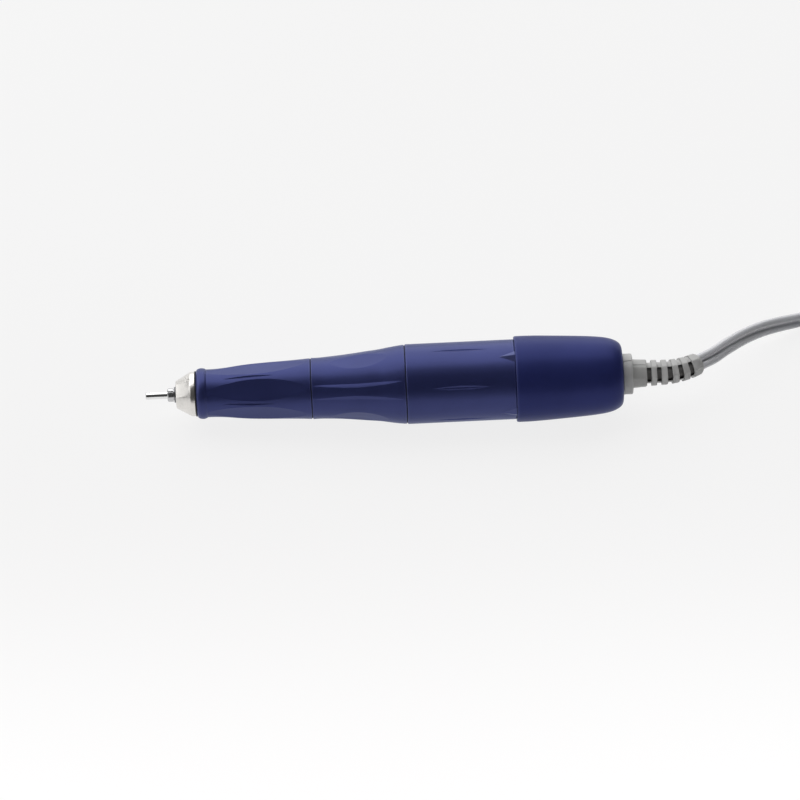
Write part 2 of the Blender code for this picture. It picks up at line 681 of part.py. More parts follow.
def build_collet(collet, spindle):
    """Collet, draw bar and cross pin, which slide together in the spindle against a spring."""
    head_end = COLLET_FRONT + COLLET_HEAD_LENGTH
    jaws = turned(
        "collet", collet,
        [(COLLET_FRONT, COLLET_HEAD_RADIUS - COLLET_HEAD_CHAMFER),
         (COLLET_FRONT + COLLET_HEAD_CHAMFER, COLLET_HEAD_RADIUS), (head_end, COLLET_HEAD_RADIUS),
         (head_end, COLLET_STEM_RADIUS), (COLLET_END, COLLET_STEM_RADIUS)],
        [(COLLET_FRONT, COLLET_BORE_RADIUS), (COLLET_END, COLLET_BORE_RADIUS)])
    reach = COLLET_HEAD_RADIUS + OVERRUN
    slot_length = COLLET_SLOT_LENGTH + OVERRUN
    middle = COLLET_FRONT - OVERRUN + slot_length / 2
    for index in range(COLLET_SLOTS):
        place = spoke(middle, COLLET_SLOT_ANGLE + 360.0 * index / COLLET_SLOTS, reach / 2)
        mesh = box_mesh("collet_slot", (slot_length, COLLET_SLOT_WIDTH, reach), [place])
        combine(jaws, cutter("collet_slot", mesh, collet))
    finish(jaws, "steel")
    tail_start = DRAW_BAR_END - DRAW_BAR_TAIL_LENGTH
    socket_end = DRAW_BAR_START + DRAW_BAR_SOCKET_LENGTH
    bar = turned(
        "draw_bar", collet,
        [(DRAW_BAR_START, COLLET_STEM_RADIUS), (socket_end, COLLET_STEM_RADIUS),
         (socket_end, DRAW_BAR_RADIUS), (tail_start, DRAW_BAR_RADIUS),
         (tail_start, COLLET_STEM_RADIUS), (DRAW_BAR_END, COLLET_STEM_RADIUS)])
    across = spoke(CROSS_PIN_STATION, 0.0)
    hole = round_mesh("draw_bar_hole", CROSS_PIN_RADIUS + CLOSE_GAP, 2 * SPINDLE_RADIUS, [across])
    combine(bar, cutter("draw_bar_hole", hole, collet))
    finish(bar, "steel")
    pin_length = 2 * (SLEEVE_BORE_RADIUS - CROSS_PIN_INSET)
    pin = round_mesh("cross_pin", CROSS_PIN_RADIUS, pin_length, [across])
    finish(add("cross_pin", pin, collet), "polished")
    spring_start = SHOULDER_START + SHOULDER_LENGTH + GAP + COLLET_SPRING_WIRE
    spring_end = tail_start - GAP - COLLET_SPRING_WIRE
    coil_radius = (DRAW_BAR_RADIUS + SPINDLE_BORE_RADIUS) / 2
    spring("collet_spring", spindle, spring_start, spring_end, coil_radius, COLLET_SPRING_WIRE,
           COLLET_SPRING_TURNS, Matrix.Identity(4))


def build_spindle(spindle):
    """The hollow spindle, slotted for the cross pin, and the dog that drives it."""
    start, end = -SPINDLE_REACH, SPINDLE_END
    shoulder_end = SHOULDER_START + SHOULDER_LENGTH
    throat = DRAW_BAR_RADIUS + GAP
    hollow = turned(
        "spindle", spindle, [(start, SPINDLE_RADIUS), (end, SPINDLE_RADIUS)],
        [(start, SPINDLE_BORE_RADIUS), (SHOULDER_START, SPINDLE_BORE_RADIUS), (SHOULDER_START, throat),
         (shoulder_end, throat), (shoulder_end, SPINDLE_BORE_RADIUS), (end, SPINDLE_BORE_RADIUS)])
    slot_start = CROSS_PIN_STATION - CROSS_PIN_RADIUS - COLLET_TRAVEL - CLOSE_GAP
    slot_end = CROSS_PIN_STATION + CROSS_PIN_RADIUS + CLOSE_GAP
    size = (slot_end - slot_start, 2 * (CROSS_PIN_RADIUS + CLOSE_GAP), 2 * (SPINDLE_RADIUS + OVERRUN))
    mesh = box_mesh("cross_pin_slot", size, [spoke((slot_start + slot_end) / 2, 0.0)])
    combine(hollow, cutter("cross_pin_slot", mesh, spindle))
    finish(hollow, "polished")
    dog = rod("drive_dog", spindle, DOG_START, DOG_LENGTH, DOG_RADIUS)
    length = TONGUE_LENGTH + DOG_LENGTH / 2
    place = spoke(TONGUE_START + TONGUE_LENGTH - length / 2, 0.0)
    tongue = box_mesh("tongue", (length, TONGUE_WIDTH, 2 * (DOG_RADIUS - TONGUE_INSET)), [place])
    combine(dog, cutter("tongue", tongue, spindle), "UNION")
    finish(dog, "steel")


def build_sleeve(root):
    """The spindle housing, with straight slots for the two guide pins."""
    sleeve = ring("spindle_housing", root, SLEEVE_START, SLEEVE_END - SLEEVE_START, SLEEVE_BORE_RADIUS,
                  SLEEVE_RADIUS)
    start = GUIDE_PIN_STATION - GUIDE_PIN_RADIUS - COLLET_TRAVEL - GAP
    end = GUIDE_PIN_STATION + GUIDE_PIN_RADIUS + GAP
    size = (end - start, 2 * (GUIDE_PIN_RADIUS + GAP), 2 * (SLEEVE_RADIUS + OVERRUN))
    slots = box_mesh("guide_slots", size, [spoke((start + end) / 2, 90.0)])
    combine(sleeve, cutter("guide_slots", slots, root))
    finish(sleeve, "steel")


def build_nose(root):
    """The nose cone, with a machined flat, and its seal."""
    cone_end, end = NOSE_CONE_LENGTH, NOSE_END
    spigot, bore = SLEEVE_RADIUS, SPINDLE_RADIUS + GAP
    spigot_end = end + NOSE_SPIGOT_LENGTH
    cone = turned(
        "nose_cone", root,
        [(0.0, NOSE_TIP_RADIUS), (cone_end, NOSE_SHOULDER_RADIUS), (cone_end, NOSE_RADIUS),
         (end, NOSE_RADIUS), (end, spigot), (spigot_end, spigot)],
        [(0.0, bore), (spigot_end, bore)], CASING_SIDES)
    across = (NOSE_TIP_RADIUS + NOSE_SHOULDER_RADIUS) / 2
    slope = math.atan2(NOSE_SHOULDER_RADIUS - NOSE_TIP_RADIUS, NOSE_CONE_LENGTH)
    for angle in (NOSE_FLAT_ANGLE, NOSE_FLAT_ANGLE + 180.0):
        size = (NOSE_CONE_LENGTH, NOSE_FLAT_WIDTH, 2 * NOSE_FLAT_DEPTH)
        place = spoke(cone_end / 2, angle, across) @ Matrix.Rotation(-slope, 4, "Y")
        combine(cone, cutter("nose_flat", box_mesh("nose_flat", size, [place]), root))
    finish(cone, "nickel")
    seal = ring("nose_seal_ring", root, SEAL_START, SEAL_WIDTH, spigot + CLOSE_GAP, NOSE_RADIUS + SEAL_STEP)
    finish(seal, "black_rubber")


def build_grip(root):
    """The front grip, with six long scallops."""
    bore = SLEEVE_RADIUS + GAP
    grip = turned("front_grip", root, outline(GRIP_START, GRIP_LENGTH, GRIP_RADIUS, GRIP_OUTLINE_SHARES),
                  [(GRIP_START, bore), (GRIP_END, bore)], CASING_SIDES)
    grip = scallop(baked(grip), GRIP_START, GRIP_LENGTH, GRIP_SCALLOP_SHARES, GRIP_SCALLOP_DEPTH,
                   GRIP_SCALLOP_ANGLE, 180.0 / SCALLOPS)
    shade(grip.data)
    finish(grip, "blue")


def build_collar(collar):
    """The twist sleeve and the cam ring in it, with two slots that drive the guide pins."""
    recess_start = COLLAR_END - CAM_FLANGE_LENGTH - 2 * GAP
    lip_end = COLLAR_START + COLLAR_LIP_LENGTH
    lip, bore = SLEEVE_RADIUS + GAP, CAM_RING_RADIUS + GAP
    recess = CAM_FLANGE_RADIUS + GAP
    rise = COLLAR_RADIUS - COLLAR_FRONT_RADIUS
    sleeve = turned(
        "collar", collar,
        [(COLLAR_START + along * COLLAR_LENGTH, COLLAR_FRONT_RADIUS + swell * rise)
         for along, swell in COLLAR_OUTLINE_SHARES],
        [(COLLAR_START, lip), (lip_end, lip), (lip_end, bore), (recess_start, bore), (recess_start, recess),
         (COLLAR_END, recess)], CASING_SIDES)
    sleeve = scallop(baked(sleeve), COLLAR_START, COLLAR_LENGTH, COLLAR_FLUTE_SHARES, COLLAR_FLUTE_DEPTH,
                     COLLAR_FLUTE_ANGLE, COLLAR_FLUTE_HALF_ANGLE)
    shade(sleeve.data)
    finish(sleeve, "blue")
    flange_start = COLLAR_END - CAM_FLANGE_LENGTH - GAP
    flange_end = flange_start + CAM_FLANGE_LENGTH
    cam_start = flange_start - CAM_RING_LENGTH
    cam = turned(
        "cam_ring", collar,
        [(cam_start, CAM_RING_RADIUS), (flange_start, CAM_RING_RADIUS), (flange_start, CAM_FLANGE_RADIUS),
         (flange_end, CAM_FLANGE_RADIUS)],
        [(cam_start, CAM_RING_BORE), (flange_end, CAM_RING_BORE)])
    for start_angle in (90.0, 270.0):
        combine(cam, cutter("cam_slot", cam_slot_mesh(start_angle), collar))
    finish(cam, "steel")


def cam_slot_mesh(start_angle):
    """A curved bar through the wall of the cam ring, along the guide pin's path in it."""
    half = GUIDE_PIN_RADIUS + GAP
    inside, outside = CAM_RING_BORE - OVERRUN / 2, CAM_RING_RADIUS + OVERRUN / 2
    margin = math.degrees(half / CAM_RING_BORE)
    work = bmesh.new()
    bmesh.ops.create_grid(work, x_segments=CAM_STEPS, y_segments=1, size=1.0)
    for vertex in work.verts:
        turn = -margin + (COLLAR_TURN + 2 * margin) * (vertex.co.x + 1.0) / 2
        slid = COLLET_TRAVEL * min(1.0, max(0.0, turn / COLLAR_TURN))
        station = GUIDE_PIN_STATION - slid + half * vertex.co.y
        vertex.co = around(start_angle - turn, inside) + Vector((station, 0.0, 0.0))
    made = bmesh.ops.extrude_face_region(work, geom=work.faces[:], use_keep_orig=True)["geom"]
    for vertex in (item for item in made if isinstance(item, bmesh.types.BMVert)):
        vertex.co.y *= outside / inside
        vertex.co.z *= outside / inside
    bmesh.ops.recalc_face_normals(work, faces=work.faces[:])
    mesh = bpy.data.meshes.new("cam_slot")
    work.to_mesh(mesh)
    work.free()
    return mesh


def build_release(release):
    """The push sleeve and its two guide pins, which the cam ring slides along the axis."""
    bore, radius = SPINDLE_RADIUS + GAP, SLEEVE_BORE_RADIUS - GAP
    sleeve = ring("push_sleeve", release, PUSH_SLEEVE_START, PUSH_SLEEVE_LENGTH, bore, radius)
    hole = round_mesh("guide_pin_holes", GUIDE_PIN_RADIUS + CLOSE_GAP, 2 * (radius + OVERRUN),
                      [spoke(GUIDE_PIN_STATION, 90.0)])
    combine(sleeve, cutter("guide_pin_holes", hole, release))
    finish(sleeve, "steel")
    pin_end = CAM_RING_RADIUS - GAP
    pin_start = radius - GUIDE_PIN_DEPTH
    for name, angle in (("guide_pin_top", 90.0), ("guide_pin_bottom", 270.0)):
        place = spoke(GUIDE_PIN_STATION, angle, (pin_start + pin_end) / 2)
        mesh = round_mesh(name, GUIDE_PIN_RADIUS, pin_end - pin_start, [place])
        finish(add(name, mesh, release), "polished")


def build_housing(root):
    """The motor housing, with raised arrows at its rear edge."""
    flat_end = HOUSING_START + HOUSING_CHAMFER
    spigot, spigot_end = HOUSING_RADIUS - HOUSING_SPIGOT_STEP, HOUSING_END + HOUSING_SPIGOT_LENGTH
    throat = SLEEVE_RADIUS + GAP
    shell = turned(
        "motor_housing", root,
        [(HOUSING_START, HOUSING_RADIUS - HOUSING_CHAMFER), (flat_end, HOUSING_RADIUS),
         (HOUSING_END, HOUSING_RADIUS), (HOUSING_END, spigot), (spigot_end, spigot)],
        [(HOUSING_START, throat), (SLEEVE_END, throat), (SLEEVE_END, HOUSING_BORE_RADIUS),
         (spigot_end, HOUSING_BORE_RADIUS)], CASING_SIDES)
    for index in range(ARROWS):
        mesh = arrow_mesh(ARROW_ANGLE + 360.0 * index / ARROWS)
        combine(shell, cutter("arrow", mesh, root), "UNION")
    finish(shell, "blue")


def arrow_mesh(angle):
    """A wedge that rises from the housing towards the cap, with a ridge along its middle."""
    half = math.degrees(ARROW_WIDTH / 2 / HOUSING_RADIUS)
    tip, mouth = HOUSING_END - ARROW_INSET - ARROW_LENGTH, HOUSING_END - ARROW_INSET
    root_radius = HOUSING_RADIUS - HOUSING_WALL / 2
    corners = [(tip, 0.0, HOUSING_RADIUS), (tip, 0.0, root_radius)]
    corners += [(mouth, 0.0, HOUSING_RADIUS + ARROW_HEIGHT)]
    corners += [(mouth, side, radius) for side in (-half, half) for radius in (root_radius, HOUSING_RADIUS)]
    work = bmesh.new()
    places = [spoke(along, angle + side, out).to_translation() for along, side, out in corners]
    bmesh.ops.convex_hull(work, input=[work.verts.new(place) for place in places])
    bmesh.ops.recalc_face_normals(work, faces=work.faces[:])
    mesh = bpy.data.meshes.new("arrow")
    work.to_mesh(mesh)
    work.free()
    return mesh


def build_cap(root):
    """The rear cap, an even shell with a round hole for the boot."""
    outside = outline(CAP_START, CAP_LENGTH, CAP_RADIUS, CAP_OUTLINE_SHARES)
    floor = CAP_END - CAP_WALL
    inside = [(CAP_START, CAP_RADIUS - CAP_WALL)]
    inside += [(along, radius - CAP_WALL) for along, radius in outside[3::2] if along < floor - CAP_WALL]
    inside += [(floor, inside[-1][1] - 2 * CAP_WALL), (floor, CAP_HOLE_RADIUS), (CAP_END, CAP_HOLE_RADIUS)]
    cap = turned("rear_cap", root, outside, inside, CASING_SIDES)
    finish(cap, "blue")


def build_motor(root, rotor, front_cage, rear_cage):
    """Can, magnets, end plates, rotor and bearings."""
    finish(ring("motor_can", root, CAN_START, CAN_END - CAN_START, CAN_BORE_RADIUS, CAN_RADIUS), "steel")
    front = FRONT_PLATE_START
    magnet_length = MAGNETS_END - MAGNETS_START
    plate = ring("motor_front_plate", root, front, BEARING_WIDTH, MOTOR_BEARING_RADIUS, MAGNET_RADIUS)
    finish(plate, "steel")
    for name, side in (("magnet_front", 0.0), ("magnet_back", 180.0)):
        magnet = ring(name, root, MAGNETS_START, magnet_length, MAGNET_BORE_RADIUS, MAGNET_RADIUS)
        reach = 2 * CAN_RADIUS
        place = spoke(MAGNETS_START + magnet_length / 2, side + 180.0, reach / 2 - MAGNET_OPENING / 2)
        size = (magnet_length + 2 * OVERRUN, 2 * reach, reach)
        combine(magnet, cutter(name + "_opening", box_mesh(name + "_opening", size, [place]), root))
        finish(magnet, "ferrite")
    rear = BELL_END - BEARING_WIDTH
    bearing("motor_front_bearing", front, SHAFT_RADIUS, MOTOR_BEARING_RADIUS, MOTOR_BEARING_RING,
            (root, rotor, front_cage))
    bearing("motor_rear_bearing", rear, SHAFT_RADIUS, MOTOR_BEARING_RADIUS, MOTOR_BEARING_RING,
            (root, rotor, rear_cage))
    shaft_end = BELL_END + SHAFT_RADIUS
    shaft_start = FORK_START + FORK_LENGTH
    finish(rod("motor_shaft", rotor, shaft_start - FORK_LENGTH / 2, shaft_end - shaft_start + FORK_LENGTH / 2,
               SHAFT_RADIUS, sides=SMALL_SIDES), "polished")
    build_fork(rotor)
    build_armature(rotor)
    finish(ring("commutator", rotor, BELL_START, COMMUTATOR_LENGTH, SHAFT_RADIUS + CLOSE_GAP,
                COMMUTATOR_RADIUS), "copper")
    build_bell(root)


def build_fork(rotor):
    """The fork on the motor shaft, whose slot takes the tongue of the dog."""
    start = TONGUE_START + GAP
    end = FORK_START + FORK_LENGTH
    bore = SHAFT_RADIUS + CLOSE_GAP
    fork = ring("drive_fork", rotor, start, end - start, bore, DOG_RADIUS)
    length = FORK_START - start + OVERRUN
    size = (length, TONGUE_WIDTH + 2 * FORK_PLAY, 2 * (DOG_RADIUS + OVERRUN))
    slot = box_mesh("fork_slot", size, [spoke(FORK_START - length / 2, 0.0)])
    combine(fork, cutter("fork_slot", slot, rotor))
    finish(fork, "steel")


def build_armature(rotor):
    """The slotted core and the windings that lie in its slots."""
    core_length = CORE_END - CORE_START
    core = ring("armature_core", rotor, CORE_START, core_length, SHAFT_RADIUS + CLOSE_GAP, CORE_RADIUS)
    deep = CORE_RADIUS + OVERRUN - CORE_SLOT_FLOOR
    size = (core_length + 2 * OVERRUN, CORE_SLOT_WIDTH, deep)
    middle = CORE_START + core_length / 2
    slot_places = [spoke(middle, 90.0 + 360.0 * i / CORE_SLOTS, CORE_SLOT_FLOOR + deep / 2)
                   for i in range(CORE_SLOTS)]
    combine(core, cutter("core_slots", box_mesh("core_slots", size, slot_places), rotor))
    finish(core, "steel")
    radius, hub = CORE_RADIUS - WINDING_INSET, SHAFT_RADIUS + WINDING_HUB_STEP
    first = ring("windings", rotor, CORE_START - GAP - WINDING_END_LENGTH, WINDING_END_LENGTH,
                 hub, radius)
    second = ring("winding_rear_end", rotor, CORE_END + GAP, WINDING_END_LENGTH, hub, radius)
    floor = CORE_SLOT_FLOOR + GAP
    tall = radius - GAP - floor
    bar_size = (core_length + 2 * GAP + WINDING_END_LENGTH, CORE_SLOT_WIDTH - 2 * GAP, tall)
    bar_places = [spoke(middle, 90.0 + 360.0 * i / CORE_SLOTS, floor + tall / 2) for i in range(CORE_SLOTS)]
    combine(first, cutter("winding_bars", box_mesh("winding_bars", bar_size, bar_places), rotor), "UNION")
    tool = cutter("winding_rear_end_tool", baked(second).data, rotor)
    bpy.data.objects.remove(bpy.data.objects["winding_rear_end"], do_unlink=True)
    combine(first, tool, "UNION")
    finish(first, "copper")


def build_bell(root):
    """The rear end bell, with the brush holders in its wall."""
    radius = CAN_RADIUS
    floor = BELL_END - BEARING_WIDTH
    bell = turned(
        "rear_end_bell", root, [(BELL_START, radius), (BELL_END, radius)],
        [(BELL_START, radius - BELL_WALL), (floor, radius - BELL_WALL), (floor, MOTOR_BEARING_RADIUS),
         (BELL_END, MOTOR_BEARING_RADIUS)])
    box = (BRUSH_LENGTH + 2 * (CLOSE_GAP + HOLDER_WALL), BRUSH_WIDTH + 2 * (CLOSE_GAP + HOLDER_WALL))
    hole_size = (box[0] + 2 * GAP, box[1] + 2 * GAP, 2 * (radius + OVERRUN))
    holes = box_mesh("holder_holes", hole_size, [spoke(BRUSH_STATION, 0.0)])
    combine(bell, cutter("holder_holes", holes, root))
    finish(bell, "dark_plastic")
    brush_start = COMMUTATOR_RADIUS + CLOSE_GAP
    holder_start = brush_start + HOLDER_OVERHANG
    tall = HOLDER_REACH - holder_start
    for side, angle in (("front", 0.0), ("back", 180.0)):
        carrier = empty("brush_" + side + "_axis", root)
        block = box_mesh("brush", (BRUSH_LENGTH, BRUSH_WIDTH, BRUSH_HEIGHT),
                         [spoke(BRUSH_STATION, angle, brush_start + BRUSH_HEIGHT / 2)])
        finish(add("brush_" + side, block, carrier), "carbon")
        middle = spoke(BRUSH_STATION, angle, holder_start + tall / 2)
        holder = add("brush_holder_" + side, box_mesh("holder", (*box, tall), [middle]), root)
        bore = (BRUSH_LENGTH + 2 * CLOSE_GAP, BRUSH_WIDTH + 2 * CLOSE_GAP, tall + 2 * OVERRUN)
        combine(holder, cutter("holder_bore", box_mesh("holder_bore", bore, [middle]), root))
        finish(holder, "brass")
        lid_place = spoke(BRUSH_STATION, angle, HOLDER_REACH + CLOSE_GAP + BRUSH_CAP_THICKNESS / 2)
        lid = add("brush_cap_" + side, box_mesh("lid", (*box, BRUSH_CAP_THICKNESS), [lid_place]), root)
        finish(lid, "brass")
        outwards = spoke(BRUSH_STATION, angle) @ Matrix.Rotation(math.radians(-90.0), 4, "Y")
        spring_start = brush_start + BRUSH_HEIGHT + BRUSH_SPRING_WIRE + CLOSE_GAP
        spring("brush_spring_" + side, root, spring_start, HOLDER_REACH - BRUSH_SPRING_WIRE,
               BRUSH_SPRING_RADIUS, BRUSH_SPRING_WIRE, BRUSH_SPRING_TURNS, outwards)


def build_boot(root):
    """The cord boot: flange, neck, base and a tapered sleeve with windows, bent towards +Y."""
    inner_start = CAP_END - CAP_WALL - GAP - INNER_FLANGE_LENGTH
    inner_end = inner_start + INNER_FLANGE_LENGTH
    neck = BOOT_NECK_RADIUS
    taper = []
    for index in range(BOOT_RINGS + 1):
        share = index / BOOT_RINGS
        taper.append((TAPER_START + BOOT_TAPER_LENGTH * share,
                      BOOT_ROOT_RADIUS + (BOOT_TIP_RADIUS - BOOT_ROOT_RADIUS) * share))
    bore = [(along, BOOT_BORE_RADIUS) for along, radius in taper]
    boot = turned(
        "cord_boot", root,
        [(inner_start, INNER_FLANGE_RADIUS), (inner_end, INNER_FLANGE_RADIUS), (inner_end, neck),
         (FLANGE_START, neck), (FLANGE_START, FLANGE_RADIUS), (BASE_START - FLANGE_ROUND, FLANGE_RADIUS),
         (BASE_START, FLANGE_RADIUS - FLANGE_ROUND), (BASE_START, BOOT_BASE_RADIUS),
         (TAPER_START, BOOT_BASE_RADIUS)] + taper,
        [(inner_start, BOOT_BORE_RADIUS)] + bore, BOOT_SIDES)
    first = TAPER_START + BOOT_WINDOW_STEP + BOOT_WINDOW_LENGTH / 2
    wide = math.sqrt(2.0) * BOOT_BASE_RADIUS - BOOT_WINDOW_BRIDGE
    size = (BOOT_WINDOW_LENGTH, wide, 2 * (BOOT_BASE_RADIUS + OVERRUN))
    for turn in (BOOT_WINDOW_ANGLE, BOOT_WINDOW_ANGLE + 90.0):
        places = [spoke(first + BOOT_RIB_PITCH * index, turn) for index in range(BOOT_WINDOWS)]
        combine(boot, cutter("boot_windows", box_mesh("boot_windows", size, places), root))
    finish(reshaped(baked(boot), boot_bend), "grey_rubber")


def build_inner_cord(root):
    """The cord in the boot, its crimp and its two leads to the brush gear."""
    steps = 14
    straight = BOOT_END - CORD_INNER_START
    stations = [CORD_INNER_START + straight * i / steps for i in range(steps + 1)]
    points = [boot_bend(Vector((station, 0.0, 0.0))) for station in stations]
    finish(tube("cord_inside", root, points, CORD_WIDTH / 2), "grey_cord")
    crimp_start = CAP_END - CAP_WALL - 2 * GAP - INNER_FLANGE_LENGTH - CRIMP_LENGTH
    bore = CORD_WIDTH / 2 + CLOSE_GAP
    finish(ring("cord_crimp", root, crimp_start, CRIMP_LENGTH, bore, bore + CRIMP_WALL), "steel")
    back = CORD_INNER_START - GAP
    front = BELL_END + GAP
    for name, side in (("lead_front", -1.0), ("lead_back", 1.0)):
        near = Vector((back, side * CORD_WIDTH / 4, 0.0))
        far = Vector((front, side * (CAN_RADIUS - LEAD_INSET), 0.0))
        third = Vector(((back - front) / 3, 0.0, 0.0))
        route = smooth_route([near, near - third, far + third, far], LEAD_RADIUS * 3)
        finish(tube(name, root, route, LEAD_RADIUS), "copper")


def coil_points():
    """The coil's centreline, from its outer end on the lower layer to its outer end on the upper."""
    turns = 2 * COIL_TURNS_EACH_WAY
    low = TIE_THICKNESS + GAP + CORD_WIDTH / 2
    points = []
    for step in range(turns * LOOP_POINTS + 1):
        turn = step / LOOP_POINTS
        radius = COIL_RADIUS - COIL_PITCH * min(turn, turns - turn)
        climb = min(1.0, max(0.0, 2.0 * (turn - COIL_TURNS_EACH_WAY) + 0.5))
        height = low + COIL_PITCH * climb * climb * (3.0 - 2.0 * climb)
        angle = math.radians(COIL_START_ANGLE) - 2 * math.pi * turn
        points.append(COIL_CENTRE + Vector((radius * math.cos(angle), radius * math.sin(angle), height)))
    first = (points[0] - points[1]).normalized() * CORD_WIDTH
    last = (points[-1] - points[-2]).normalized() * CORD_WIDTH
    return [points[0] + first] + points + [points[-1] + last]


def least_gap(points, width):
    """The least gap between turns of a wound tube, measured between its points' segments."""
    least = math.inf
    for index, point in enumerate(points):
        for other in range(index + LOOP_POINTS // 2, len(points) - 1):
            start, end = points[other], points[other + 1]
            share = (point - start).dot(end - start) / (end - start).length_squared
            nearest = start + (end - start) * min(1.0, max(0.0, share))
            least = min(least, (point - nearest).length - width)
    return least


def build_cord(boot_exit, heading):
    """The cord from the boot to the coil, the coil, its tie and the tail to the plug."""
    coil = coil_points()
    print("coil's least gap to itself:", round(least_gap(coil, CORD_WIDTH) / MM, 2), "mm")
    entry = coil[0] + (coil[0] - coil[1]).normalized() * GAP
    start = boot_exit + heading * GAP
    knots = [start, start + heading * CORD_WIDTH / 2] + [boot_exit + step for step in LEAD_ROUTE]
    knots += [entry + (coil[0] - coil[1]).normalized() * CORD_WIDTH, entry]
    finish(tube("cord_lead", None, smooth_route(knots, CORD_WIDTH), CORD_WIDTH / 2), "grey_cord")
    finish(tube("cord_coil", None, coil, CORD_WIDTH / 2, 1), "grey_cord")
    build_tie()
    build_tail(coil)


def build_tie():
    """The strap round the coil, a closed band."""
    low, high = TIE_THICKNESS / 2, TIE_THICKNESS * 1.5 + 2 * GAP + COIL_PITCH + CORD_WIDTH
    inner = COIL_RADIUS - COIL_PITCH * COIL_TURNS_EACH_WAY - CORD_WIDTH / 2 - GAP - TIE_THICKNESS / 2
    outer = COIL_RADIUS + CORD_WIDTH / 2 + GAP + TIE_THICKNESS / 2
    corner = CORD_WIDTH / 3
    centres = ((outer - corner, low + corner), (outer - corner, high - corner),
               (inner + corner, high - corner), (inner + corner, low + corner))
    line = []
    for index, (across, up) in enumerate(centres):
        for step in range(TIE_CORNER_STEPS + 1):
            angle = math.radians(90.0 * (index - 1 + step / TIE_CORNER_STEPS))
            line.append((across + corner * math.cos(angle), up + corner * math.sin(angle)))
    turn = Matrix.Translation(COIL_CENTRE) @ Matrix.Rotation(math.radians(TIE_ANGLE), 4, "Z")
    work = bmesh.new()
    verts = [work.verts.new(turn @ Vector((across, -TIE_WIDTH / 2, up))) for across, up in line]
    edges = [work.edges.new((verts[i], verts[(i + 1) % len(verts)])) for i in range(len(verts))]
    made = bmesh.ops.extrude_edge_only(work, edges=edges)["geom"]
    moved = [item for item in made if isinstance(item, bmesh.types.BMVert)]
    bmesh.ops.translate(work, verts=moved, vec=turn.to_3x3() @ Vector((0.0, TIE_WIDTH, 0.0)))
    bmesh.ops.recalc_face_normals(work, faces=work.faces[:])
    mesh = bpy.data.meshes.new("cord_tie")
    work.to_mesh(mesh)
    work.free()
    strap = add("cord_tie", mesh, None)
    wall = strap.modifiers.new("Wall", "SOLIDIFY")
    wall.thickness = TIE_THICKNESS
    wall.offset = 0.0
    wall.use_even_offset = True
    finish(strap, "black_rubber")


def build_tail(coil):
    """The tail that climbs over the coil, and the plug that lies on it."""
    top = coil[-1].z + CORD_WIDTH / 2 + GAP + PLUG_RADIUS
    plug_angle = math.radians(PLUG_ANGLE)
    place = Vector((math.cos(plug_angle), math.sin(plug_angle), 0.0)) * COIL_RADIUS * PLUG_RADIUS_SHARE
    forward = Vector((math.sin(plug_angle), -math.cos(plug_angle), 0.0))
    length = PLUG_TAPER_LENGTH + PLUG_GRIP_LENGTH
    rear = COIL_CENTRE + place + Vector((0.0, 0.0, top)) - forward * length / 2
    leave = (coil[-1] - coil[-2]).normalized()
    start = coil[-1] + leave * GAP
    knots = [start, start + leave * CORD_WIDTH / 2]
    for turn, reach, rise in TAIL_ROUTE_SHARES:
        angle = math.radians(COIL_START_ANGLE - turn)
        flat = Vector((math.cos(angle), math.sin(angle), 0.0)) * COIL_RADIUS * reach
        knots.append(COIL_CENTRE + flat + Vector((0.0, 0.0, start.z + (top - start.z) * rise)))
    entry = rear - forward * GAP
    knots += [entry - forward * CORD_WIDTH, entry]
    finish(tube("cord_tail", None, smooth_route(knots, CORD_WIDTH), CORD_WIDTH / 2), "grey_cord")
    heading = math.atan2(forward.y, forward.x)
    build_plug(empty("plug_frame", None, rear, (0.0, 0.0, heading)))


def build_plug(frame):
    """The plug along its own axis: body with its taper, shell, insert and pins."""
    taper_end = PLUG_TAPER_LENGTH
    end = taper_end + PLUG_GRIP_LENGTH
    bore = PLUG_RADIUS - PLUG_SOCKET_WALL
    floor = end - PLUG_SOCKET_DEPTH
    body = turned(
        "plug_body", frame, [(0.0, PLUG_TAPER_RADIUS), (taper_end, PLUG_RADIUS), (end, PLUG_RADIUS),
                             (end, bore), (floor, bore)])
    finish(body, "dark_plastic")
    shell_radius = bore - GAP
    shell_bore = shell_radius - PLUG_SHELL_WALL
    start = floor + GAP
    finish(ring("plug_shell", frame, start, PLUG_SHELL_LENGTH, shell_bore, shell_radius), "polished")
    insert_radius = shell_bore - GAP
    circle = insert_radius - PLUG_PIN_MARGIN
    insert = rod("plug_insert", frame, start, PLUG_INSERT_LENGTH, insert_radius)
    first = start + PLUG_PIN_INSET
    lie = Matrix.Rotation(math.radians(90.0), 4, "Y")
    middle = first + PLUG_PIN_LENGTH / 2
    places = [Matrix.Translation(spoke(middle, 90.0 + 360.0 * i / PLUG_PINS, circle).to_translation()) @ lie
              for i in range(PLUG_PINS)]
    mesh = round_mesh("plug_pins", PLUG_PIN_RADIUS, PLUG_PIN_LENGTH, places)
    combine(insert, cutter("plug_pins", mesh, frame), "UNION")
    finish(insert, "white_plastic")


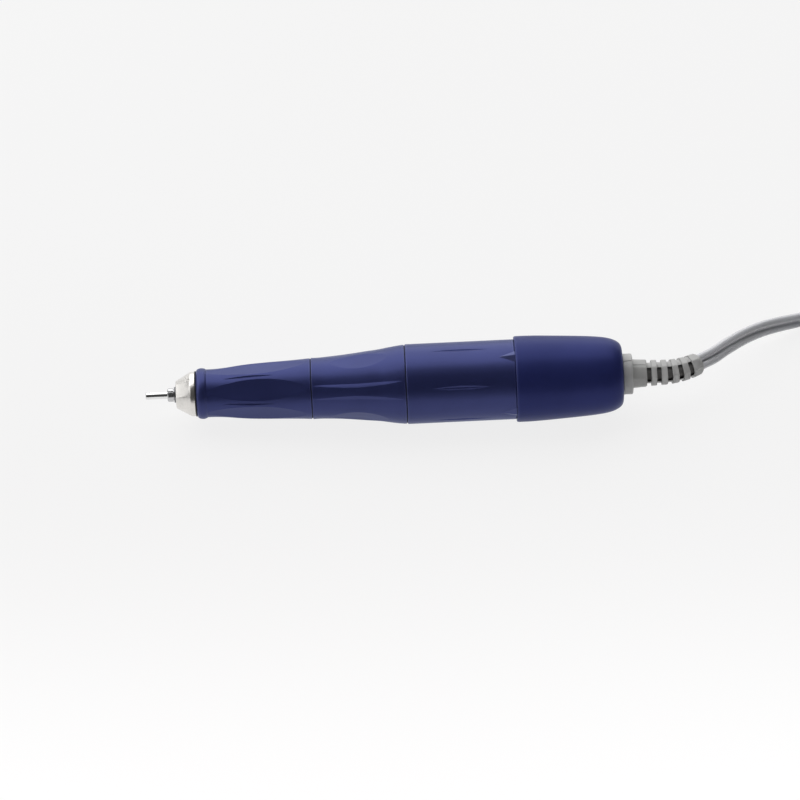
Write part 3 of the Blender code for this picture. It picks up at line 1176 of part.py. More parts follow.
def build_handpiece():
    """The handpiece under one frame, which lies at its resting tilt."""
    last = boot_bend(Vector((BOOT_END, 0.0, 0.0)))
    turn = math.radians(BOOT_TURN)
    reach = last.x + BOOT_TIP_RADIUS * math.sin(turn)
    middle = (reach - BUR_REACH) / 2
    height = HOUSING_RADIUS * FACET_SHARE * math.cos(REST_TILT) - FRONT_REST_STATION * math.sin(REST_TILT)
    place = (-middle * math.cos(REST_TILT), 0.0, height)
    frame = empty("handpiece_frame", None, place, (0.0, -REST_TILT, 0.0))
    spindle, collet, bur = (empty(name + "_axis", frame) for name in ("spindle", "collet", "bur"))
    collar, release, rotor = (empty(name + "_axis", frame) for name in ("collar", "release", "rotor"))
    cages = [empty("cage_axis_" + str(index + 1), frame) for index in range(4)]
    build_bur(bur)
    build_collet(collet, spindle)
    build_spindle(spindle)
    build_sleeve(frame)
    build_nose(frame)
    build_grip(frame)
    build_collar(collar)
    build_release(release)
    build_housing(frame)
    build_cap(frame)
    for name, start, cage in (("spindle_front_bearing", SLEEVE_START + GAP, cages[0]),
                              ("spindle_rear_bearing", REAR_BEARING_START, cages[1])):
        bearing(name, start, SPINDLE_RADIUS, SLEEVE_BORE_RADIUS, SPINDLE_BEARING_RING, (frame, spindle, cage))
    build_motor(frame, rotor, cages[2], cages[3])
    build_boot(frame)
    build_inner_cord(frame)
    bpy.context.view_layer.update()
    heading = frame.matrix_world.to_3x3() @ Vector((math.cos(turn), math.sin(turn), 0.0))
    return frame.matrix_world @ last, heading


def main():
    """Build the whole object."""
    boot_exit, heading = build_handpiece()
    build_cord(boot_exit, heading)
    bpy.context.view_layer.update()


clear_scene()
PARTS = collection("electric_nail_drill")
CUTTERS = collection("cutters")
main()
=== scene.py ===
"""Fine shapes and finishes of an electric nail drill's handpiece and cord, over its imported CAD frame."""
import logging
from collections.abc import Callable, Sequence
from dataclasses import dataclass
from enum import Enum
from math import atan2, copysign, cos, degrees, hypot, pi, radians, sin

import bmesh
import bpy
from mathutils import Matrix, Vector


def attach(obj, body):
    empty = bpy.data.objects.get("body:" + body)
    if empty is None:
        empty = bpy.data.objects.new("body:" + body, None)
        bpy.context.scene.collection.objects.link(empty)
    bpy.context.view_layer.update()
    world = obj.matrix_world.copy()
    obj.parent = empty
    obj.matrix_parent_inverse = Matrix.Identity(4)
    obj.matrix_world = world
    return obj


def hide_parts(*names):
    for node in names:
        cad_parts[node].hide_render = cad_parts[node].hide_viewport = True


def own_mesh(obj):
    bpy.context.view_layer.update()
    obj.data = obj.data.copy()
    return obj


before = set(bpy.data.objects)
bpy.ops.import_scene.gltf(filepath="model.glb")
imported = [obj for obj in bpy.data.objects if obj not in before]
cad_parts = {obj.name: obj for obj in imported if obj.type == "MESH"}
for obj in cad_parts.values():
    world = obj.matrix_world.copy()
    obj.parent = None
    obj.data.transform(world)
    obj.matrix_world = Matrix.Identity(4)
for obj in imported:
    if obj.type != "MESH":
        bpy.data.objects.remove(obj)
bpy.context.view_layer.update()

log = logging.getLogger("nail_drill")

MM = 0.001
NOSE_PLACE = (-0.0817734, 0.0, 0.0109669)
REST_TILT = 0.02754951885
HANDPIECE = Matrix.Translation(NOSE_PLACE) @ Matrix.Rotation(-REST_TILT, 4, "Y")
CASING_COLUMNS = 360
CASING_CREASE = 12.0

Profile = list[tuple[float, float]]
Shares = tuple[tuple[float, float], ...]
Colour = tuple[float, float, float]
Place = tuple[float, float, float]
Rule = Callable[[float, float, float], tuple[float, float]]
Shape = bmesh.types.BMesh
Item = bpy.types.Object
Material = bpy.types.Material
Socket = bpy.types.NodeSocket


class Relief(Enum):
    """The way a finish's fine relief runs."""

    MOULDED = (1.0, 1.0, 1.0)
    TURNED = (1.0, 0.06, 0.06)
    DRAWN = (0.05, 1.0, 1.0)


class Graph:
    """One material in the making: its nodes, and short ways to add them."""

    def __init__(self, name: str) -> None:
        """Start a material with a Principled shader.

        Args:
            name: The material's name.
        """
        self.material = bpy.data.materials.new(name)
        self.material.use_nodes = True
        self.tree = self.material.node_tree
        self.tree.nodes.clear()
        self.output = self.add("ShaderNodeOutputMaterial")
        self.shader = self.add("ShaderNodeBsdfPrincipled")
        self.tree.links.new(self.shader.outputs[0], self.output.inputs[0])
        self.place = self.handpiece_place()

    def add(self, kind: str, inputs: dict | None = None, **settings: object) -> bpy.types.Node:
        """Add one node.

        Args:
            kind: Blender's name for the node.
            inputs: Input sockets by name or number, each given a value or another socket.
            settings: The node's own settings.

        Returns:
            The node.
        """
        node = self.tree.nodes.new(kind)
        for key, value in settings.items():
            setattr(node, key, value)
        for key, value in (inputs or {}).items():
            if isinstance(value, Socket):
                self.tree.links.new(value, node.inputs[key])
            else:
                node.inputs[key].default_value = value
        return node

    def handpiece_place(self) -> Socket:
        """Turn the object coordinates level with the handpiece's axis.

        Returns:
            The turned coordinates.
        """
        source = self.add("ShaderNodeTexCoord").outputs["Object"]
        back = HANDPIECE.inverted()
        mapping = self.add("ShaderNodeMapping", {"Vector": source, "Location": back.translation,
                                                 "Rotation": back.to_euler()})
        return mapping.outputs[0]

    def noise(self, size: float, relief: Relief = Relief.MOULDED,
              detail: float = 3.0) -> Socket:
        """Add a noise whose spots have about this size.

        Args:
            size: Size of a spot in millimetres.
            relief: How the noise is drawn out.
            detail: How many finer layers it has.

        Returns:
            The noise's value, from 0 to 1.
        """
        stretch = self.add("ShaderNodeMapping", {"Vector": self.place, "Scale": relief.value})
        node = self.add("ShaderNodeTexNoise", {"Vector": stretch.outputs[0], "Scale": 1.0 / (size * MM),
                                               "Detail": detail, "Roughness": 0.55})
        return node.outputs[0]

    def span(self, value: Socket, low: float, high: float,
             start: float = 0.3, end: float = 0.7) -> Socket:
        """Map a value's range from start to end onto low to high, and return the result."""
        node = self.add("ShaderNodeMapRange", {"Value": value, "From Min": start, "From Max": end,
                                               "To Min": low, "To Max": high})
        return node.outputs[0]

    def mix(self, factor: Socket, low: Colour | Socket,
            high: Colour | Socket) -> Socket:
        """Mix two colours.

        Args:
            factor: The share of the second colour.
            low: The first colour.
            high: The second colour.

        Returns:
            The mixed colour.
        """
        ends = [end if isinstance(end, Socket) else (*end, 1.0) for end in (low, high)]
        node = self.add("ShaderNodeMix", {0: factor, 6: ends[0], 7: ends[1]}, data_type="RGBA")
        return node.outputs[2]

    def sum(self, first: Socket, second: Socket,
            share: float) -> Socket:
        """Add a share of the second value to the first, and return the sum."""
        node = self.add("ShaderNodeMath", {0: second, 1: share, 2: first}, operation="MULTIPLY_ADD")
        return node.outputs[0]

    def mottled(self, cloud: Socket, colour: Colour, gain: float, lift: float = 0.0) -> Socket:
        """Return a colour with spots of itself, brighter or darker by a gain and a lift."""
        spots = tuple(channel * gain + lift for channel in colour)
        return self.mix(self.span(cloud, 0.0, 1.0), colour, spots)

    def edges(self, start: float = 0.505, end: float = 0.56) -> Socket:
        """Return a value that rises to 1 on the piece's outward edges."""
        source = self.add("ShaderNodeNewGeometry").outputs["Pointiness"]
        return self.span(source, 0.0, 1.0, start, end)

    def bump(self, height: Socket, depth: float) -> None:
        """Give the shader a relief of this depth in millimetres."""
        node = self.add("ShaderNodeBump", {"Height": height, "Distance": depth * MM, "Strength": 1.0})
        self.tree.links.new(node.outputs[0], self.shader.inputs["Normal"])

    def feed(self, **values: object) -> None:
        """Set or link the shader's inputs.

        Args:
            values: A value or a socket for each input, whose name has underscores for its spaces.
        """
        for key, value in values.items():
            socket = self.shader.inputs[key.replace("_", " ")]
            if isinstance(value, Socket):
                self.tree.links.new(value, socket)
            else:
                socket.default_value = (*value, 1.0) if isinstance(value, tuple) else value


@dataclass(frozen=True)
class AnodisedCasing:
    """Satin anodised metal: a deep colour that the lamps and the floor are seen in, softly."""

    name: str
    colour: Colour
    worn: Colour
    tint: Colour = (0.76, 0.82, 1.0)
    metal: float = 0.6
    film: float = 0.18
    gloss: float = 0.5
    roughness: float = 0.4
    grain: float = 0.16
    depth: float = 0.003

    def material(self) -> Material:
        """Build the finish.

        Returns:
            The material.
        """
        graph = Graph(self.name)
        smudge = graph.noise(3.0, Relief.DRAWN, 4.0)
        body = graph.mottled(graph.noise(16.0, detail=2.0), self.colour, 1.12, 0.001)
        graph.feed(Base_Color=graph.mix(graph.edges(0.508, 0.57), body, self.worn), Metallic=self.metal,
                   Roughness=graph.span(smudge, self.roughness - 0.04, self.roughness + 0.05),
                   Specular_IOR_Level=self.gloss, Specular_Tint=self.tint, Coat_Weight=self.film,
                   Coat_Roughness=self.roughness)
        graph.bump(graph.noise(self.grain), self.depth)
        return graph.material


@dataclass(frozen=True)
class SatinPlastic:
    """A smooth moulded plastic with a soft sheen, handling marks and paler edges."""

    name: str
    colour: Colour
    worn: Colour
    roughness: float = 0.4
    grain: float = 0.18
    depth: float = 0.004

    def material(self) -> Material:
        """Build the finish.

        Returns:
            The material.
        """
        graph = Graph(self.name)
        smudge = graph.noise(3.0, Relief.DRAWN, 4.0)
        body = graph.mottled(graph.noise(14.0, detail=2.0), self.colour, 1.14, 0.002)
        graph.feed(Base_Color=graph.mix(graph.edges(), body, self.worn),
                   Roughness=graph.span(smudge, self.roughness - 0.05, self.roughness + 0.06),
                   Specular_IOR_Level=0.5)
        graph.bump(graph.noise(self.grain), self.depth)
        return graph.material


@dataclass(frozen=True)
class TurnedMetal:
    """Metal with the fine rings that a lathe leaves, and a few darker spots."""

    name: str
    colour: Colour
    roughness: float
    ring: float = 0.12
    depth: float = 0.003
    relief: Relief = Relief.TURNED

    def material(self) -> Material:
        """Build the finish.

        Returns:
            The material.
        """
        graph = Graph(self.name)
        rings = graph.noise(self.ring, self.relief, 5.0)
        stain = graph.noise(4.0, detail=4.0)
        graph.feed(Base_Color=graph.mottled(stain, self.colour, 0.84), Metallic=1.0,
                   Roughness=graph.span(graph.sum(rings, stain, 0.4), self.roughness * 0.75,
                                        self.roughness * 1.3, 0.4, 1.0))
        graph.bump(rings, self.depth)
        return graph.material


@dataclass(frozen=True)
class SoftPvc:
    """Matt flexible plastic with a pebbled skin and a painted highlight that makes its outward edges paler.
    """

    name: str
    colour: Colour
    roughness: float = 0.5
    pebble: float = 0.35
    depth: float = 0.012

    def material(self) -> Material:
        """Build the finish.

        Returns:
            The material.
        """
        graph = Graph(self.name)
        pebbles = graph.noise(self.pebble, detail=2.0)
        cloud = graph.noise(6.0)
        body = graph.mottled(cloud, self.colour, 0.86)
        # Painted highlight: a paler colour on the outward edges stands in for light catching them.
        pale = tuple(min(1.0, channel * 1.15) for channel in self.colour)
        graph.feed(Base_Color=graph.mix(graph.edges(0.51, 0.6), body, pale),
                   Roughness=graph.span(graph.sum(pebbles, cloud, 0.5), self.roughness - 0.07,
                                        self.roughness + 0.08, 0.45, 1.05))
        graph.bump(pebbles, self.depth)
        return graph.material


@dataclass(frozen=True)
class WovenStrap:
    """A closely woven strap with a soft nap."""

    name: str
    colour: Colour
    thread: float = 0.7

    def material(self) -> Material:
        """Build the finish.

        Returns:
            The material.
        """
        graph = Graph(self.name)
        cell = graph.add("ShaderNodeTexVoronoi", {"Vector": graph.place,
                                                  "Scale": 1.0 / (self.thread * MM)})
        nap = graph.noise(0.2, detail=2.0)
        light = tuple(channel * 2.2 + 0.01 for channel in self.colour)
        height = graph.sum(graph.span(cell.outputs[0], 1.0, 0.0, 0.0, 0.8), nap, 0.4)
        graph.feed(Base_Color=graph.mix(graph.span(height, 0.0, 1.0, 0.4, 1.2), self.colour, light),
                   Roughness=graph.span(nap, 0.78, 0.95), Sheen_Weight=0.25)
        graph.bump(height, 0.12)
        return graph.material


class Finishes:
    """Every finish of the drill, each built once."""

    def __init__(self) -> None:
        """Build the materials."""
        self.blue = AnodisedCasing("satin_blue_casing", (0.028, 0.036, 0.147),
                                   (0.065, 0.077, 0.22)).material()
        self.cap_blue = AnodisedCasing("satin_blue_cap", (0.021, 0.028, 0.134), (0.055, 0.066, 0.2),
                                       metal=0.3, film=0.06, gloss=0.15).material()
        self.nickel = TurnedMetal("satin_nickel", (0.82, 0.8, 0.77), 0.3, 0.2, 0.0003).material()
        self.polished = TurnedMetal("polished_shank", (0.86, 0.86, 0.86), 0.09, 0.3, 0.0006,
                                    Relief.DRAWN).material()
        self.spring = TurnedMetal("spring_wire", (0.5, 0.5, 0.52), 0.28, 0.2, 0.002,
                                  Relief.DRAWN).material()
        self.steel = TurnedMetal("turned_steel", (0.62, 0.62, 0.63), 0.24).material()
        self.black_steel = TurnedMetal("black_oxide_steel", (0.02, 0.02, 0.025), 0.5).material()
        self.dark_steel = TurnedMetal("blackened_steel", (0.2, 0.2, 0.21), 0.3).material()
        self.can = TurnedMetal("zinc_plated_can", (0.6, 0.61, 0.62), 0.34, 0.4, 0.006).material()
        self.brass = TurnedMetal("bearing_brass", (0.72, 0.52, 0.24), 0.3).material()
        self.copper = TurnedMetal("wound_copper", (0.72, 0.33, 0.16), 0.32, 0.35, 0.06,
                                  Relief.DRAWN).material()
        self.segments = TurnedMetal("commutator_copper", (0.78, 0.42, 0.26), 0.22).material()
        self.ferrite = SoftPvc("ferrite_magnet", (0.05, 0.048, 0.05), 0.55, 0.2, 0.01).material()
        self.carbon = SoftPvc("brush_carbon", (0.03, 0.03, 0.032), 0.5, 0.15, 0.01).material()
        self.rubber = SoftPvc("seal_rubber", (0.018, 0.018, 0.02), 0.55, 0.3, 0.008).material()
        self.boot = SoftPvc("grey_boot_pvc", (0.49, 0.49, 0.483), 0.44, 0.4, 0.01).material()
        self.cord = SoftPvc("grey_cord_pvc", (0.64, 0.645, 0.675), 0.24, 0.6, 0.003).material()
        # Painted shade: the cord inside the boot is the same grey cord, and this dark colour stands in for
        # the shade in the boot's windows.
        self.painted_cord_shade = SoftPvc("inner_cord_painted_shade", (0.11, 0.108, 0.105), 0.4, 0.6, 0.003).material()
        self.plastic = SatinPlastic("black_plug_moulding", (0.018, 0.018, 0.02),
                                    (0.05, 0.05, 0.052)).material()
        self.bell = SatinPlastic("end_bell_moulding", (0.03, 0.03, 0.032), (0.06, 0.06, 0.06),
                                 0.5).material()
        self.insert = SatinPlastic("white_pin_insert", (0.72, 0.71, 0.66), (0.78, 0.77, 0.73),
                                   0.42).material()
        self.strap = WovenStrap("black_tie_strap", (0.016, 0.016, 0.018)).material()


FINISHES = Finishes()


def outward(work: Shape) -> None:
    """Turn every face of a shape outwards."""
    bmesh.ops.recalc_face_normals(work, faces=work.faces[:])


def turned(line: Profile, sides: int, closed: bool = True) -> Shape:
    """Turn an outline about the handpiece's axis, in millimetres.

    Args:
        line: Pairs of station and radius. An open line begins and ends on the axis.
        sides: How many columns the turned shape has.
        closed: Whether the outline's last point joins its first.

    Returns:
        The closed shape.
    """
    work = bmesh.new()
    ring = [work.verts.new((along, 0.0, radius)) for along, radius in line]
    pairs = list(zip(ring, ring[1:]))
    if closed:
        pairs.append((ring[-1], ring[0]))
    edges = [work.edges.new(pair) for pair in pairs]
    bmesh.ops.spin(work, geom=ring + edges, cent=(0.0, 0.0, 0.0), axis=(1.0, 0.0, 0.0),
                   angle=2 * pi, steps=sides, use_merge=True, use_duplicate=False)
    bmesh.ops.remove_doubles(work, verts=work.verts[:], dist=1e-4)
    outward(work)
    return work


def soften(work: Shape, width: float, angle: float = 32.0) -> Shape:
    """Round every edge that is sharper than an angle.

    Args:
        work: The shape.
        width: How far the rounding reaches, in millimetres.
        angle: The least turn between two faces, in degrees.

    Returns:
        The same shape.
    """
    limit = radians(angle)
    sharp = [edge for edge in work.edges if edge.calc_face_angle(0.0) > limit]
    bmesh.ops.bevel(work, geom=sharp, offset=width, offset_type="OFFSET", segments=2, profile=0.5,
                    affect="EDGES", clamp_overlap=True, material=-1)
    return work


def moved(work: Shape, rule: Rule) -> Shape:
    """Move every point by a rule in turning coordinates.

    Args:
        work: The shape.
        rule: Takes a station, an angle in degrees and a radius, and returns the new angle and radius.

    Returns:
        The same shape.
    """
    for vertex in work.verts:
        place = vertex.co
        radius = hypot(place.y, place.z)
        angle, radius = rule(place.x, degrees(atan2(place.z, -place.y)), radius)
        turn = radians(angle)
        vertex.co = (place.x, -radius * cos(turn), radius * sin(turn))
    return work


def nearest(angle: float, first: float, count: int) -> float:
    """Return how far an angle is past the nearest of some evenly spaced ones, in degrees."""
    pitch = 360.0 / count
    return (angle - first + pitch / 2) % pitch - pitch / 2


def arch(station: float, start: float, end: float, power: float = 1.0) -> float:
    """Rise from 0 at one station to 1 halfway and back to 0 at another."""
    share = (station - start) / (end - start)
    return sin(pi * share) ** power if 0.0 < share < 1.0 else 0.0


def smooth_route(knots: Sequence[Vector], spacing: float) -> list[Vector]:
    """Lay points on a smooth curve through some knots.

    Args:
        knots: The places that the curve runs through.
        spacing: About how far the points are apart.

    Returns:
        The points, from the first knot to the last.
    """
    guides = [knots[0] * 2 - knots[1]] + list(knots) + [knots[-1] * 2 - knots[-2]]
    points = []
    for before, start, end, after in zip(guides, guides[1:], guides[2:], guides[3:]):
        steps = max(1, round((end - start).length / spacing))
        for step in range(steps):
            t = step / steps
            points.append(0.5 * (2 * start + (end - before) * t
                                 + (2 * before - 5 * start + 4 * end - after) * t ** 2
                                 + (3 * start - before - 3 * end + after) * t ** 3))
    return points + [knots[-1]]


def rounded_end(end: float, radius: float) -> Profile:
    """Draw the rounded rear edge of a casing piece."""
    return [(end - 0.08, radius - 0.06), (end, radius - 0.22)]


def swept(shares: Shares, start: float, length: float, low: float, high: float,
          spacing: float) -> Profile:
    """Draw a smooth outline through shares of a length and of a rise between two radii.

    Args:
        shares: Pairs of a share of the length and a share of the rise.
        start: Station where the outline begins.
        length: Its length.
        low: Radius at share 0.
        high: Radius at share 1.
        spacing: Distance between points.

    Returns:
        Pairs of station and radius.
    """
    knots = [Vector((start + along * length, low + rise * (high - low))) for along, rise in shares]
    return [(point.x, point.y) for point in smooth_route(knots, spacing)]


def spoke(station: float, angle: float, radius: float = 0.0) -> Matrix:
    """Find a place on the casing.

    Args:
        station: How far along the axis it is.
        angle: The way outwards, in degrees above the front.
        radius: How far it is from the axis.

    Returns:
        A frame there, with X along the axis and Z outwards.
    """
    turn = radians(angle)
    out = Vector((0.0, -cos(turn), sin(turn)))
    along = Vector((1.0, 0.0, 0.0))
    across = out.cross(along)
    basis = Matrix((along, across, out)).transposed().to_4x4()
    return Matrix.Translation(Vector((station, 0.0, 0.0)) + out * radius) @ basis


def blocks(size: Place, places: Sequence[Matrix], bevel: float = 0.0) -> Shape:
    """Make one box at each place.

    Args:
        size: The box's size along the place's own axes.
        places: The middles of the boxes.
        bevel: How far their edges are rounded.

    Returns:
        The boxes as one shape.
    """
    work = bmesh.new()
    for place in places:
        bmesh.ops.create_cube(work, size=1.0, matrix=place @ Matrix.Diagonal((*size, 1.0)))
    if bevel:
        soften(work, bevel)
    return work


def rods(radius: float, length: float, places: Sequence[Matrix], sides: int = 24,
         bevel: float = 0.0) -> Shape:
    """Make one round rod at each place.

    Args:
        radius: The rod's radius.
        length: Its length, along the place's Z.
        places: The middles of the rods.
        sides: How many flats stand for the round.
        bevel: How far their ends are rounded.

    Returns:
        The rods as one shape.
    """
    work = bmesh.new()
    for place in places:
        bmesh.ops.create_cone(work, cap_ends=True, segments=sides, radius1=radius, radius2=radius,
                              depth=length, matrix=place)
    if bevel:
        soften(work, bevel)
    return work


def joined(work: Shape, *others: Shape) -> Shape:
    """Add other shapes to a shape.

    Args:
        work: The shape.
        others: The shapes that are added to it, and freed.

    Returns:
        The same shape.
    """
    for other in others:
        loose = bpy.data.meshes.new("loose")
        other.to_mesh(loose)
        other.free()
        work.from_mesh(loose)
        bpy.data.meshes.remove(loose)
    return work


def added(name: str, data: bpy.types.ID) -> Item:
    """Add an object to the scene.

    Args:
        name: The object's name.
        data: Its mesh, curve, lamp or camera.

    Returns:
        The object.
    """
    item = bpy.data.objects.new(name, data)
    bpy.context.scene.collection.objects.link(item)
    return item


def trimmed(work: Shape, cutter: Shape) -> Shape:
    """Cut a shape with another one, and free both.

    Args:
        work: The shape that is cut.
        cutter: The shape that is taken out of it.

    Returns:
        The shape that is left.
    """
    pair = []
    for name, shape in (("cut_piece", work), ("cut_tool", cutter)):
        mesh = bpy.data.meshes.new(name)
        shape.to_mesh(mesh)
        shape.free()
        pair.append(added(name, mesh))
    cut = pair[0].modifiers.new("Cut", "BOOLEAN")
    cut.operation = "DIFFERENCE"
    cut.solver = "EXACT"
    cut.object = pair[1]
    left = bmesh.new()
    left.from_object(pair[0], bpy.context.evaluated_depsgraph_get())
    for item in pair:
        mesh = item.data
        bpy.data.objects.remove(item)
        bpy.data.meshes.remove(mesh)
    return left


def piece(name: str, work: Shape, finish: Material, place: Matrix = HANDPIECE,
          crease: float = 24.0) -> Item:
    """Turn a shape in millimetres into a finished piece in metres, with its object at the origin.

    Args:
        name: The piece's name.
        work: The shape, which is freed.
        finish: Its material.
        place: The frame that the shape was made in.
        crease: Faces that turn more than this many degrees meet in a crisp edge.

    Returns:
        The piece's object.
    """
    bmesh.ops.transform(work, matrix=place @ Matrix.Scale(MM, 4), verts=work.verts[:])
    limit = radians(crease)
    for face in work.faces:
        face.smooth = True
    for edge in work.edges:
        edge.smooth = edge.calc_face_angle(0.0) < limit
    mesh = bpy.data.meshes.new(name)
    work.to_mesh(mesh)
    work.free()
    mesh.materials.append(finish)
    log.info("%s: %d faces", name, len(mesh.polygons))
    return added(name, mesh)


def fit(item: Item, body: str, slot: str, *nodes: str) -> Item:
    """Let a piece ride on a body and stand for CAD nodes.

    Args:
        item: The piece.
        body: The body that it rides on.
        slot: The record's material slot. It is not used.
        nodes: The CAD nodes that it stands for.

    Returns:
        The piece.
    """
    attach(item, body)
    if nodes:
        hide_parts(*nodes)
    return item


def casing(name: str, line: Profile, rule: Rule, body: str, node: str, *trim: Shape) -> None:
    """Turn a blue piece of the casing from its outline, press it by a rule and add its trim."""
    work = joined(moved(turned(line, CASING_COLUMNS), rule), *trim)
    fit(piece(name, work, FINISHES.blue, crease=CASING_CREASE), body, "anodised_blue", node)


@dataclass
class NoseEnd:
    """The pin, the collet, the spindle, the nose cone and its seal."""

    pin_radius: float = 1.175
    pin_start: float = -10.0
    pin_end: float = 21.0
    pin_chamfer: float = 0.22
    pin_edge: float = 0.06
    collet_start: float = -2.8
    collet_end: float = 21.5
    head_radius: float = 2.25
    head_end: float = -0.9
    head_chamfer: float = 0.3
    stem_radius: float = 1.85
    jaw_bore: float = 1.275
    jaw_chamfer: float = 0.2
    jaws: int = 3
    slot_size: Place = (13.0, 0.5, 3.2)
    slot_station: float = 3.2
    slot_angle: float = 72.0
    spindle_start: float = -0.6
    spindle_end: float = 68.0
    spindle_radius: float = 2.6
    spindle_bore: float = 2.05
    spindle_chamfer: float = 0.12
    throat: float = 1.35
    throat_start: float = 28.0
    throat_end: float = 30.0
    cross_slot_size: Place = (2.15, 1.5, 7.2)
    cross_slot_station: float = 56.725
    cone_bore: float = 2.9
    tip_radius: float = 4.42
    shoulder_station: float = 4.6
    shoulder_radius: float = 7.05
    shoulder_step: float = 0.25
    band_radius: float = 7.28
    band_end: float = 6.32
    spigot_radius: float = 6.1
    spigot_end: float = 12.0
    cone_edge: float = 0.14
    flat_angle: float = 59.0
    flat_station: float = 1.9
    flat_rise: float = 0.1
    flat_size: Place = (5.4, 5.3, 1.62)
    flat_edge: float = 0.35
    seal_start: float = 6.37
    seal_end: float = 6.65
    seal_bore: float = 6.25
    seal_radius: float = 7.5
    seal_edge: float = 0.07

    def pin(self) -> None:
        """Build the blank pin with its rounded ends."""
        start, end, radius, chamfer = self.pin_start, self.pin_end, self.pin_radius, self.pin_chamfer
        line = [(start, 0.0), (start, radius - chamfer), (start + chamfer, radius), (end, radius),
                (end, 0.0)]
        work = soften(turned(line, 48, closed=False), self.pin_edge)
        fit(piece("shank_pin", work, FINISHES.polished), "bur", "polished_steel", "bur_shank")

    def collet(self) -> None:
        """Build the collet, slotted into its jaws."""
        start, radius, bore, stem = self.collet_start, self.head_radius, self.jaw_bore, self.stem_radius
        line = [(start, bore + self.jaw_chamfer), (start, radius - self.head_chamfer),
                (start + self.head_chamfer, radius), (self.head_end, radius), (self.head_end, stem),
                (self.collet_end, stem), (self.collet_end, bore), (start + self.jaw_chamfer, bore)]
        work = turned(line, 72)
        for index in range(self.jaws):
            turn = self.slot_angle + 360.0 / self.jaws * index
            place = spoke(self.slot_station, turn, self.slot_size[2] / 2)
            work = trimmed(work, blocks(self.slot_size, [place]))
        fit(piece("slotted_collet", work, FINISHES.steel), "collet", "steel", "collet")

    def spindle(self) -> None:
        """Build the hollow spindle, slotted for its cross pin."""
        start, end, bore = self.spindle_start, self.spindle_end, self.spindle_bore
        radius, chamfer = self.spindle_radius, self.spindle_chamfer
        line = [(start, radius - chamfer), (start + chamfer, radius), (end, radius), (end, bore),
                (self.throat_end, bore), (self.throat_end, self.throat),
                (self.throat_start, self.throat), (self.throat_start, bore), (start, bore)]
        slot = blocks(self.cross_slot_size, [spoke(self.cross_slot_station, 0.0)])
        fit(piece("spindle_tube", trimmed(turned(line, 64), slot), FINISHES.dark_steel), "spindle",
            "polished_steel", "spindle")

    def cone(self) -> None:
        """Build the nose cone with its band, its two flats and the spigot in the spindle housing."""
        line = [(0.0, self.cone_bore), (0.0, self.tip_radius),
                (self.shoulder_station, self.shoulder_radius),
                (self.shoulder_station + self.shoulder_step, self.band_radius),
                (self.band_end, self.band_radius), (self.band_end, self.spigot_radius),
                (self.spigot_end, self.spigot_radius), (self.spigot_end, self.cone_bore)]
        work = soften(turned(line, 144), self.cone_edge)
        slope = atan2(self.shoulder_radius - self.tip_radius, self.shoulder_station)
        middle = (self.tip_radius + self.shoulder_radius) / 2 + self.flat_rise
        for angle in (self.flat_angle, self.flat_angle + 180.0):
            place = spoke(self.flat_station, angle, middle) @ Matrix.Rotation(-slope, 4, "Y")
            work = trimmed(work, blocks(self.flat_size, [place], self.flat_edge))
        fit(piece("nose_cone_shell", work, FINISHES.nickel), "handpiece", "nickel", "nose_cone")

    def seal(self) -> None:
        """Build the black seal behind the nose cone."""
        line = [(self.seal_start, self.seal_bore), (self.seal_start, self.seal_radius),
                (self.seal_end, self.seal_radius), (self.seal_end, self.seal_bore)]
        work = soften(turned(line, 96), self.seal_edge)
        fit(piece("seal_ring", work, FINISHES.rubber), "handpiece", "black_rubber", "nose_seal_ring")

    def build(self) -> None:
        """Build every piece at the nose."""
        for make in (self.pin, self.collet, self.spindle, self.cone, self.seal):
            make()


